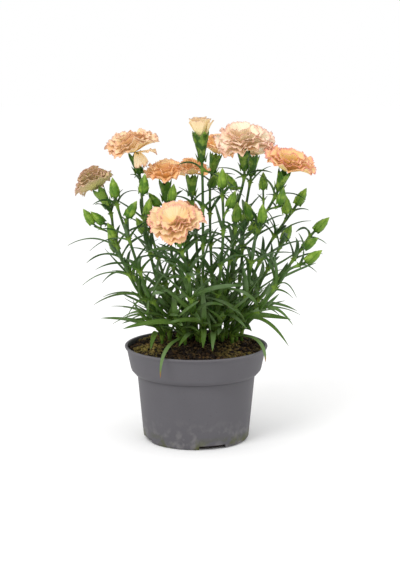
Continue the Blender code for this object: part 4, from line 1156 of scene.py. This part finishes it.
def add_crumbs(builder, rng):
    """Crumbs, and flat chips of bark among them."""
    ball, ball_faces = rough_ball()
    for _ in range(CRUMBS):
        x, y = on_soil(rng, SOIL_REACH - 1.2)
        is_bark = rng.random() >= 1 - BARK_SHARE
        size = min(3.2, 0.5 + rng.exponential(0.55))
        shape = np.array([1, rng.uniform(0.6, 1), rng.uniform(0.5, 0.95)]) * size
        if is_bark:
            shape = np.array([rng.uniform(1.6, 3.6), rng.uniform(0.7, 1.5), rng.uniform(0.3, 0.6)])
        axis = rng.normal(size=3) * ((0.5, 0.5, 1.2) if is_bark else (1, 1, 1))
        turn = frame_of(axis, rng.random() * math.tau)
        lumpy = ball * (1 + rng.uniform(-0.22, 0.22, (len(ball), 1))) * shape
        centre = np.array([x, y, fine_soil_height(x, y) + shape[2] * 0.25 + rng.uniform(-0.2, 0.5)])
        points = centre + lumpy @ turn
        if (np.hypot(points[:, 0], points[:, 1]) > SOIL_REACH + 1.0).any():
            continue
        tone = rng.random() ** (0.7 if is_bark else 1.0)
        builder.add(points, ball_faces, np.tile((tone, 0.5 if is_bark else 0.0, 0.0), (len(points), 1)))


def add_fibres(builder, rng):
    """Thin curved fibres that lie on the crumbs."""
    for _ in range(FIBRES):
        x, y = on_soil(rng, SOIL_REACH - 8)
        way, bend, length = rng.random() * math.tau, rng.uniform(-1.6, 1.6), rng.uniform(4, 13)
        line = []
        for s in np.linspace(0, 1, 7):
            px = x + length * s * math.cos(way + bend * s)
            py = y + length * s * math.sin(way + bend * s)
            rise = 1.2 * math.sin(math.pi * s) * rng.uniform(0.3, 1)
            line.append((px, py, fine_soil_height(px, py) + 0.7 + rise))
        line = np.array(line)
        if (np.hypot(line[:, 0], line[:, 1]) > SOIL_REACH - 1).any():
            continue
        width = rng.uniform(0.14, 0.34)
        grid = np.array([ring_points(p, unit(w), width, 5, (0.1, 0.2, 1))
                         for p, w in zip(line, np.gradient(line, axis=0))])
        builder.add_tube(grid, np.tile((rng.random(), 1.0, 0.0), (*grid.shape[:2], 1)))


def dress_soil(look):
    """The compost: a lumpy surface under thousands of crumbs, bark chips and fibres.

    place is (tone, kind, 0): kind 0 is crumb, 0.5 bark and 1 fibre.
    """
    builder = Builder()
    rng = np.random.default_rng(SOIL_SEED)
    add_soil_body(builder)
    add_crumbs(builder, rng)
    add_fibres(builder, rng)
    builder.piece("soil_surface", look, "soil", "soil")


# Materials. Colours are linear red, green and blue.


class Graph:
    """A material's nodes, wired by short calls. tint builds its colour up, layer over layer."""

    def __init__(self, name, roughness, **settings):
        self.material = bpy.data.materials.new(name)
        self.material.use_nodes = True
        self.tree = self.material.node_tree
        self.shader = self.tree.nodes["Principled BSDF"]
        for socket, value in {"Roughness": roughness, **settings}.items():
            self.shader.inputs[socket.replace("_", " ")].default_value = value
        self.colour = None

    def put(self, socket, value):
        if isinstance(value, bpy.types.NodeSocket):
            self.tree.links.new(value, socket)
        elif isinstance(value, tuple) and len(value) == 3 and socket.type == "RGBA":
            socket.default_value = (*value, 1.0)
        else:
            socket.default_value = value

    def node(self, kind, settings=None, **inputs):
        made = self.tree.nodes.new("ShaderNode" + kind)
        for key, value in (settings or {}).items():
            setattr(made, key, value)
        for key, value in inputs.items():
            self.put(made.inputs[key], value)
        return made

    def place(self):
        """The three values that each point carries."""
        read = self.node("Attribute", {"attribute_name": "place"})
        return self.node("SeparateXYZ", Vector=read.outputs["Vector"]).outputs

    def where(self, letter=None):
        """The point's place in metres, or one coordinate of it."""
        spot = self.node("TexCoord").outputs["Object"]
        return self.node("SeparateXYZ", Vector=spot).outputs[letter] if letter else spot

    def noise(self, scale, detail=3.0, distortion=0.0, vector=None):
        """Noise whose features are 1000 / scale millimetres across."""
        made = self.node("TexNoise", Scale=scale, Detail=detail, Distortion=distortion)
        self.put(made.inputs["Vector"], vector or self.where())
        return made.outputs["Fac"]

    def math(self, operation, *values):
        made = self.node("Math", {"operation": operation})
        for socket, value in zip(made.inputs, values):
            self.put(socket, value)
        return made.outputs[0]

    def times(self, a, b):
        return self.math("MULTIPLY", a, b)

    def span(self, value, low, high, to_low=0.0, to_high=1.0):
        """The value, led from one span of numbers to another, and held at its ends."""
        made = self.node("MapRange", {"clamp": True})
        for socket, given in zip(made.inputs, (value, low, high, to_low, to_high)):
            self.put(socket, given)
        return made.outputs[0]

    def ramp(self, value, *stops):
        made = self.node("ValToRGB", Fac=value)
        elements = made.color_ramp.elements
        for element, (position, colour) in zip(elements, (stops[0], stops[-1])):
            element.position = position
            element.color = (*colour, 1)
        for position, colour in stops[1:-1]:
            elements.new(position).color = (*colour, 1)
        return made.outputs["Color"]

    def mix(self, share, a, b):
        made = self.node("Mix", {"data_type": "RGBA"})
        colours = [socket for socket in made.inputs if socket.type == "RGBA"]
        for socket, given in zip((made.inputs[0], *colours), (share, a, b)):
            self.put(socket, given)
        return made.outputs[2]

    def tint(self, share, colour):
        """Lays another colour over the colour so far."""
        self.colour = self.mix(share, self.colour, colour)

    def bump(self, height, strength, distance, normal=None):
        made = self.node("Bump", Height=height, Strength=strength, Distance=distance)
        if normal:
            self.put(made.inputs["Normal"], normal)
        return made.outputs["Normal"]

    def finish(self, roughness, normal):
        for socket, value in (("Base Color", self.colour), ("Roughness", roughness), ("Normal", normal)):
            self.put(self.shader.inputs[socket], value)
        return self.material


def petal_look(name, heart, body, blush, edge, tip):
    """Cream at the heart, peach in the body, streaked with blush, and a thin darker edge, with a faint
    painted glow in the blush colour.
    """
    # Painted glow: the petals emit a little light in their blush colour
    g = Graph(name, 0.65, Specular_IOR_Level=0.15, Emission_Color=(*blush, 1.0),
              Emission_Strength=PAINTED_PETAL_GLOW)
    along, across, tone = g.place()
    blotch = g.noise(300, 3.0)
    along = g.math("ADD", along, g.span(blotch, 0.3, 0.7, -0.04, 0.04))
    warm = g.math("ADD", g.times(tone, 0.6), g.times(g.noise(60, 1.0), 0.6))
    flesh = g.mix(g.span(warm, 0.35, 0.85), body, blush)
    g.colour = g.mix(g.span(along, 0.05, 0.55), heart, flesh)
    rays = g.node("CombineXYZ", X=g.times(across, 9.0), Y=g.times(along, 1.6)).outputs[0]
    ray = g.noise(1.0, 3.0, vector=rays)
    streak = g.times(g.span(ray, 0.50, 0.66, 0.0, 0.60), g.span(along, 0.40, 0.85))
    g.tint(streak, blush)
    fleck = g.times(g.span(ray, 0.60, 0.70, 0.0, 0.60), g.span(along, 0.72, 0.95))
    g.tint(fleck, edge)
    g.tint(g.span(along, 0.86, 0.985, 0.0, 0.75), edge)
    g.tint(g.span(along, 0.965, 1.01, 0.0, 0.9), tip)
    ribs = g.math("SINE", g.times(across, 55.0))
    return g.finish(g.span(blotch, 0.2, 0.8, 0.55, 0.75), g.bump(ribs, 0.25, 0.0002))


def leaf_look():
    """Waxy green blades, greyer above, paler along the groove and yellow-green low on the plant; the
    waxiest patches carry painted highlights too.
    """
    g = Graph("leaf", 0.55, Specular_IOR_Level=0.10, Subsurface_Weight=0.05, Subsurface_Scale=0.002,
              Subsurface_Radius=(0.4, 1.0, 0.25))
    along, across, tone = g.place()
    veins = g.math("SINE", g.times(across, 26.0))
    cloudy = g.math("ADD", g.noise(60, 3.0), g.span(tone, 0.0, 1.0, -0.12, 0.12))
    # Cloudy patches of the blades' own grey-green waxy bloom, which also stand for painted highlights
    wax_and_highlight = g.span(cloudy, 0.42, 0.68, 0.0, 0.80)
    low = g.times(g.span(g.where("Z"), 0.10, 0.17, 0.85, 0.0), g.span(along, 0.25, 0.85, 1.0, 0.50))
    worn = g.times(g.span(along, 0.94, 1.0), g.span(g.noise(60, 1.0), 0.48, 0.6))
    scorched = g.times(g.math("GREATER_THAN", tone, 1.0), g.span(along, 0.88, 0.97))
    g.colour = g.mix(g.math("FRACT", tone), (0.010, 0.036, 0.005), (0.050, 0.108, 0.024))
    g.tint(wax_and_highlight, (0.115, 0.180, 0.098))
    g.tint(g.span(veins, -1, 1, 0.0, 0.18), (0.075, 0.130, 0.040))
    g.tint(g.span(g.math("ABSOLUTE", across), 0.0, 0.22, 0.35, 0.0), (0.080, 0.150, 0.040))
    g.tint(low, (0.140, 0.235, 0.040))
    # Painted highlight: the waxiest patches made paler still
    g.tint(g.times(wax_and_highlight, 0.5), (0.165, 0.240, 0.120))
    g.tint(g.span(along, 0.10, 0.42, 0.55, 0.0), (0.050, 0.120, 0.010))
    g.tint(g.span(along, 0.02, 0.17, 0.9, 0.0), (0.18, 0.29, 0.035))
    g.tint(worn, (0.12, 0.07, 0.025))
    g.tint(scorched, (0.30, 0.13, 0.03))
    return g.finish(g.span(wax_and_highlight, 0.0, 0.75, 0.45, 0.62), g.bump(veins, 0.25, 0.0002))


def stem_look():
    """Green stems with a bluish bloom, and pale swollen joints."""
    g = Graph("stem", 0.5, Specular_IOR_Level=0.15, Subsurface_Weight=0.05, Subsurface_Scale=0.002)
    near, height, _ = g.place()
    g.colour = g.mix(g.span(g.noise(120, 3.0), 0.3, 0.7), (0.018, 0.052, 0.006), (0.058, 0.110, 0.030))
    g.tint(g.span(height, 0.36, 0.66, 0.8, 0.0), (0.070, 0.150, 0.012))
    g.tint(g.span(near, 0.10, 0.60, 0.8, 0.0), (0.15, 0.25, 0.032))
    grain = g.noise(900, 2.0)
    return g.finish(g.span(grain, 0.3, 0.7, 0.42, 0.58), g.bump(grain, 0.15, 0.0002))


def bud_look():
    """Fresh yellow-green, darker along the seams, with pale tips and edges, and broad patches of painted
    highlight and painted shade.
    """
    g = Graph("bud", 0.42, Specular_IOR_Level=0.25, Subsurface_Weight=0.10, Subsurface_Scale=0.003,
              Subsurface_Radius=(0.5, 1.0, 0.2))
    along, rib, tone = g.place()
    # Painted shade: broad dark patches, strongest low on the bud, standing in for its shaded side
    shade = g.times(g.span(g.noise(90, 1.0), 0.44, 0.60, 0.0, 0.6), g.span(along, 0.1, 0.6, 1.0, 0.4))
    g.colour = g.mix(tone, (0.055, 0.150, 0.006), (0.165, 0.285, 0.022))
    g.tint(g.span(tone, -1.0, 0.0, 1.0, 0.0), (0.016, 0.052, 0.004))
    # Painted highlight: broad pale yellow-green patches standing in for the bud's lit side
    g.tint(g.span(g.noise(160, 2.0), 0.46, 0.62, 0.0, 0.75), (0.270, 0.400, 0.050))
    g.tint(g.span(rib, 0.10, 0.45, 0.65, 0.0), (0.022, 0.076, 0.004))
    g.tint(shade, (0.030, 0.095, 0.005))
    g.tint(g.span(along, 0.82, 1.0, 0.0, 0.7), (0.34, 0.42, 0.11))
    g.tint(g.span(along, 0.0, 0.22, 0.75, 0.0), (0.035, 0.100, 0.006))
    fibres = g.noise(800, 2.0)
    return g.finish(g.span(fibres, 0.3, 0.7, 0.36, 0.5), g.bump(fibres, 0.2, 0.0003))


def pot_look():
    """Matte grey moulded plastic with specks, scuffs near the foot and traces of algae, with a painted
    shade line under the collar and a paler painted highlight along the top of the lip.
    """
    g = Graph("grey_plastic", 0.55, Specular_IOR_Level=0.25)
    height = g.where("Z")
    cloud = g.noise(26, 4.0)
    low = g.span(height, 0.004, 0.030, 1.0, 0.0)
    lowest = g.span(height, 0.002, 0.012, 1.0, 0.0)
    scuff = g.times(low, g.span(g.noise(140, 8.0), 0.48, 0.66, 0.0, 0.38))
    algae = g.times(lowest, g.span(g.noise(48, 5.0, 0.5), 0.50, 0.57, 0.0, 0.85))
    # Painted shade: a thin dark line round the body just under the collar's step, where the collar's
    # overhang shades it
    ledge_z = BODY_TOP_Z * MM
    ledge_top = g.span(height, ledge_z + 0.0008, ledge_z + 0.0012, 1.0, 0.0)
    painted_ledge_shade = g.times(g.span(height, ledge_z - 0.0005, ledge_z + 0.0003), ledge_top)
    g.colour = g.mix(g.span(cloud, 0.3, 0.7), (0.090, 0.086, 0.095), (0.101, 0.097, 0.107))
    g.tint(g.span(g.noise(900, 1.0), 0.70, 0.76, 0.0, 0.5), (0.045, 0.042, 0.045))
    g.tint(scuff, (0.25, 0.24, 0.235))
    g.tint(algae, (0.075, 0.082, 0.018))
    g.tint(g.times(painted_ledge_shade, 0.6), (0.03, 0.028, 0.03))
    # Painted highlight: the top of the rolled lip is made paler, where light from above falls on it
    lip_z = POT_HEIGHT * MM
    g.tint(g.span(height, lip_z - 0.0020, lip_z - 0.0004, 0.0, 0.25), (0.20, 0.19, 0.205))
    grain = g.bump(g.noise(2600, 2.0), 0.12, 0.0002)
    return g.finish(g.span(cloud, 0.3, 0.7, 0.50, 0.62), g.bump(g.noise(35, 2.0), 0.05, 0.002, grain))


def soil_look():
    """Damp dark compost with tan bark and pale fibres, and painted shade darkening its middle under the
    plant.
    """
    g = Graph("compost", 0.85, Specular_IOR_Level=0.15)
    tone, kind, _ = g.place()
    crumb = g.ramp(tone, (0.0, (0.004, 0.003, 0.0025)), (0.45, (0.012, 0.007, 0.005)),
                   (0.75, (0.028, 0.016, 0.009)), (0.90, (0.085, 0.046, 0.014)), (1.0, (0.22, 0.13, 0.04)))
    bark = g.ramp(tone, (0.0, (0.018, 0.008, 0.005)), (0.5, (0.07, 0.032, 0.011)),
                  (1.0, (0.24, 0.13, 0.045)))
    fibre = g.ramp(tone, (0.0, (0.06, 0.033, 0.014)), (1.0, (0.34, 0.24, 0.11)))
    aside = g.span(g.math("ABSOLUTE", g.where("X")), 0.012, 0.036)
    patch = g.times(aside, g.span(g.noise(38, 2.0), 0.42, 0.56, 0.0, 0.85))
    mottled = g.noise(700, 4.0)
    g.colour = g.mix(g.math("GREATER_THAN", kind, 0.25), crumb, bark)
    g.tint(g.math("GREATER_THAN", kind, 0.75), fibre)
    # Painted shade: the compost is darkened towards near-black in the middle, under the plant, fading out
    # to the sides
    g.tint(g.math("SUBTRACT", 0.5, g.times(aside, 0.5)), (0.010, 0.006, 0.004))
    g.tint(g.times(patch, g.span(tone, 0.2, 0.75)), (0.30, 0.24, 0.06))
    g.tint(g.span(mottled, 0.35, 0.7, 0.0, 0.5), (0.012, 0.007, 0.005))
    return g.finish(g.span(mottled, 0.3, 0.7, 0.72, 0.95), g.bump(mottled, 0.6, 0.0006))


# Painted glow: how strongly the petals emit light in their blush colour, standing in for the light sent on
# from petal to petal, which lightens the folds between them
PAINTED_PETAL_GLOW = 0.07

# Each look: heart, body, blush, edge, tip
PETAL_LOOKS = {
    "left": ((0.87, 0.63, 0.22), (0.87, 0.74, 0.50), (0.87, 0.60, 0.34), (0.78, 0.38, 0.26),
             (0.34, 0.15, 0.11)),
    "front": ((0.80, 0.58, 0.18), (0.79, 0.68, 0.42), (0.80, 0.52, 0.25), (0.80, 0.43, 0.32),
              (0.72, 0.20, 0.22)),
    "right": ((0.86, 0.64, 0.18), (0.86, 0.70, 0.34), (0.86, 0.53, 0.25), (0.84, 0.34, 0.27),
              (0.66, 0.17, 0.20)),
    "top_right": ((0.86, 0.57, 0.24), (0.86, 0.79, 0.60), (0.86, 0.66, 0.46), (0.78, 0.40, 0.31),
                  (0.48, 0.18, 0.17)),
    "mid_left": ((0.92, 0.62, 0.18), (0.93, 0.76, 0.46), (0.92, 0.58, 0.28), (0.82, 0.40, 0.24),
                 (0.48, 0.19, 0.13)),
    "far_left": ((0.42, 0.42, 0.10), (0.53, 0.48, 0.19), (0.62, 0.43, 0.27), (0.66, 0.41, 0.33),
                 (0.48, 0.25, 0.21)),
    "opening_bud": ((0.56, 0.56, 0.20), (0.82, 0.73, 0.42), (0.84, 0.64, 0.38), (0.72, 0.48, 0.32),
                    (0.40, 0.22, 0.16)),
}
SAME_LOOK = {"top_right_back": "top_right", "back_top": "mid_left", "back_high": "mid_left",
             "back_mid": "front"}


# Camera, light and floor

# Each light: its place, its size and its power. Both aim at the middle of the plant.
LIGHTS = {"key": ((-0.8, -1.1, 1.4), 0.8, 12), "fill": ((1.3, -1.0, 0.7), 1.2, 2)}
LIGHT_AIM = (0, 0, 0.16)
FLOOR_REACH = 6.0
FLOOR_Z = -0.0003


def add_camera():
    """The photograph's viewpoint: a long lens a little above the blooms, looking slightly down."""
    data = bpy.data.cameras.new("view")
    data.lens = CAMERA_LENS
    data.shift_x = CAMERA_SHIFT
    data.clip_end = 50
    view = linked("view", data)
    view.location = (0, -CAMERA_BACK * MM, CAMERA_UP * MM)
    view.rotation_euler = (math.radians(90 - CAMERA_DOWN_DEG), 0, 0)
    bpy.context.scene.camera = view


def add_lights():
    """A large soft key from the upper left, and a weaker light from the right."""
    for name, (place, size, power) in LIGHTS.items():
        data = bpy.data.lights.new(name, "AREA")
        data.shape = "DISK"
        data.size = size
        data.energy = power
        lamp = linked(name, data)
        lamp.location = place
        towards = Vector(LIGHT_AIM) - Vector(place)
        lamp.rotation_euler = towards.to_track_quat("-Z", "Y").to_euler()


def add_studio():
    """White surroundings and a white floor."""
    world = bpy.data.worlds.new("studio")
    world.use_nodes = True
    world.node_tree.nodes["Background"].inputs["Color"].default_value = (1, 1, 1, 1)
    world.node_tree.nodes["Background"].inputs["Strength"].default_value = 1.0
    bpy.context.scene.world = world
    mesh = bpy.data.meshes.new("floor")
    corners = [(x * FLOOR_REACH, y * FLOOR_REACH, FLOOR_Z) for x, y in ((-1, -1), (1, -1), (1, 1), (-1, 1))]
    mesh.from_pydata(corners, [], [(0, 1, 2, 3)])
    look = Graph("floor_white", 0.9, Specular_IOR_Level=0.0, Base_Color=(1, 1, 1, 1))
    mesh.materials.append(look.material)
    floor = linked("floor", mesh)
    bpy.context.scene.view_settings.view_transform = "Standard"


def main():
    add_camera()
    add_lights()
    add_studio()
    looks = {name: petal_look("petals_" + name, *colours) for name, colours in PETAL_LOOKS.items()}
    for name, same in SAME_LOOK.items():
        looks[name] = looks[same]
    green = {"leaves": leaf_look(), "stem": stem_look(), "buds": bud_look()}
    dress_pot(pot_look())
    dress_soil(soil_look())
    planned, room = plan()
    fill(planned, room)
    for shoot, line, sides, leaves in planned:
        dress_shoot(shoot, line, sides, leaves, green)
        if shoot.top not in ("bud", "tuft"):
            dress_petals(shoot, line, looks)
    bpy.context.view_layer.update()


main()
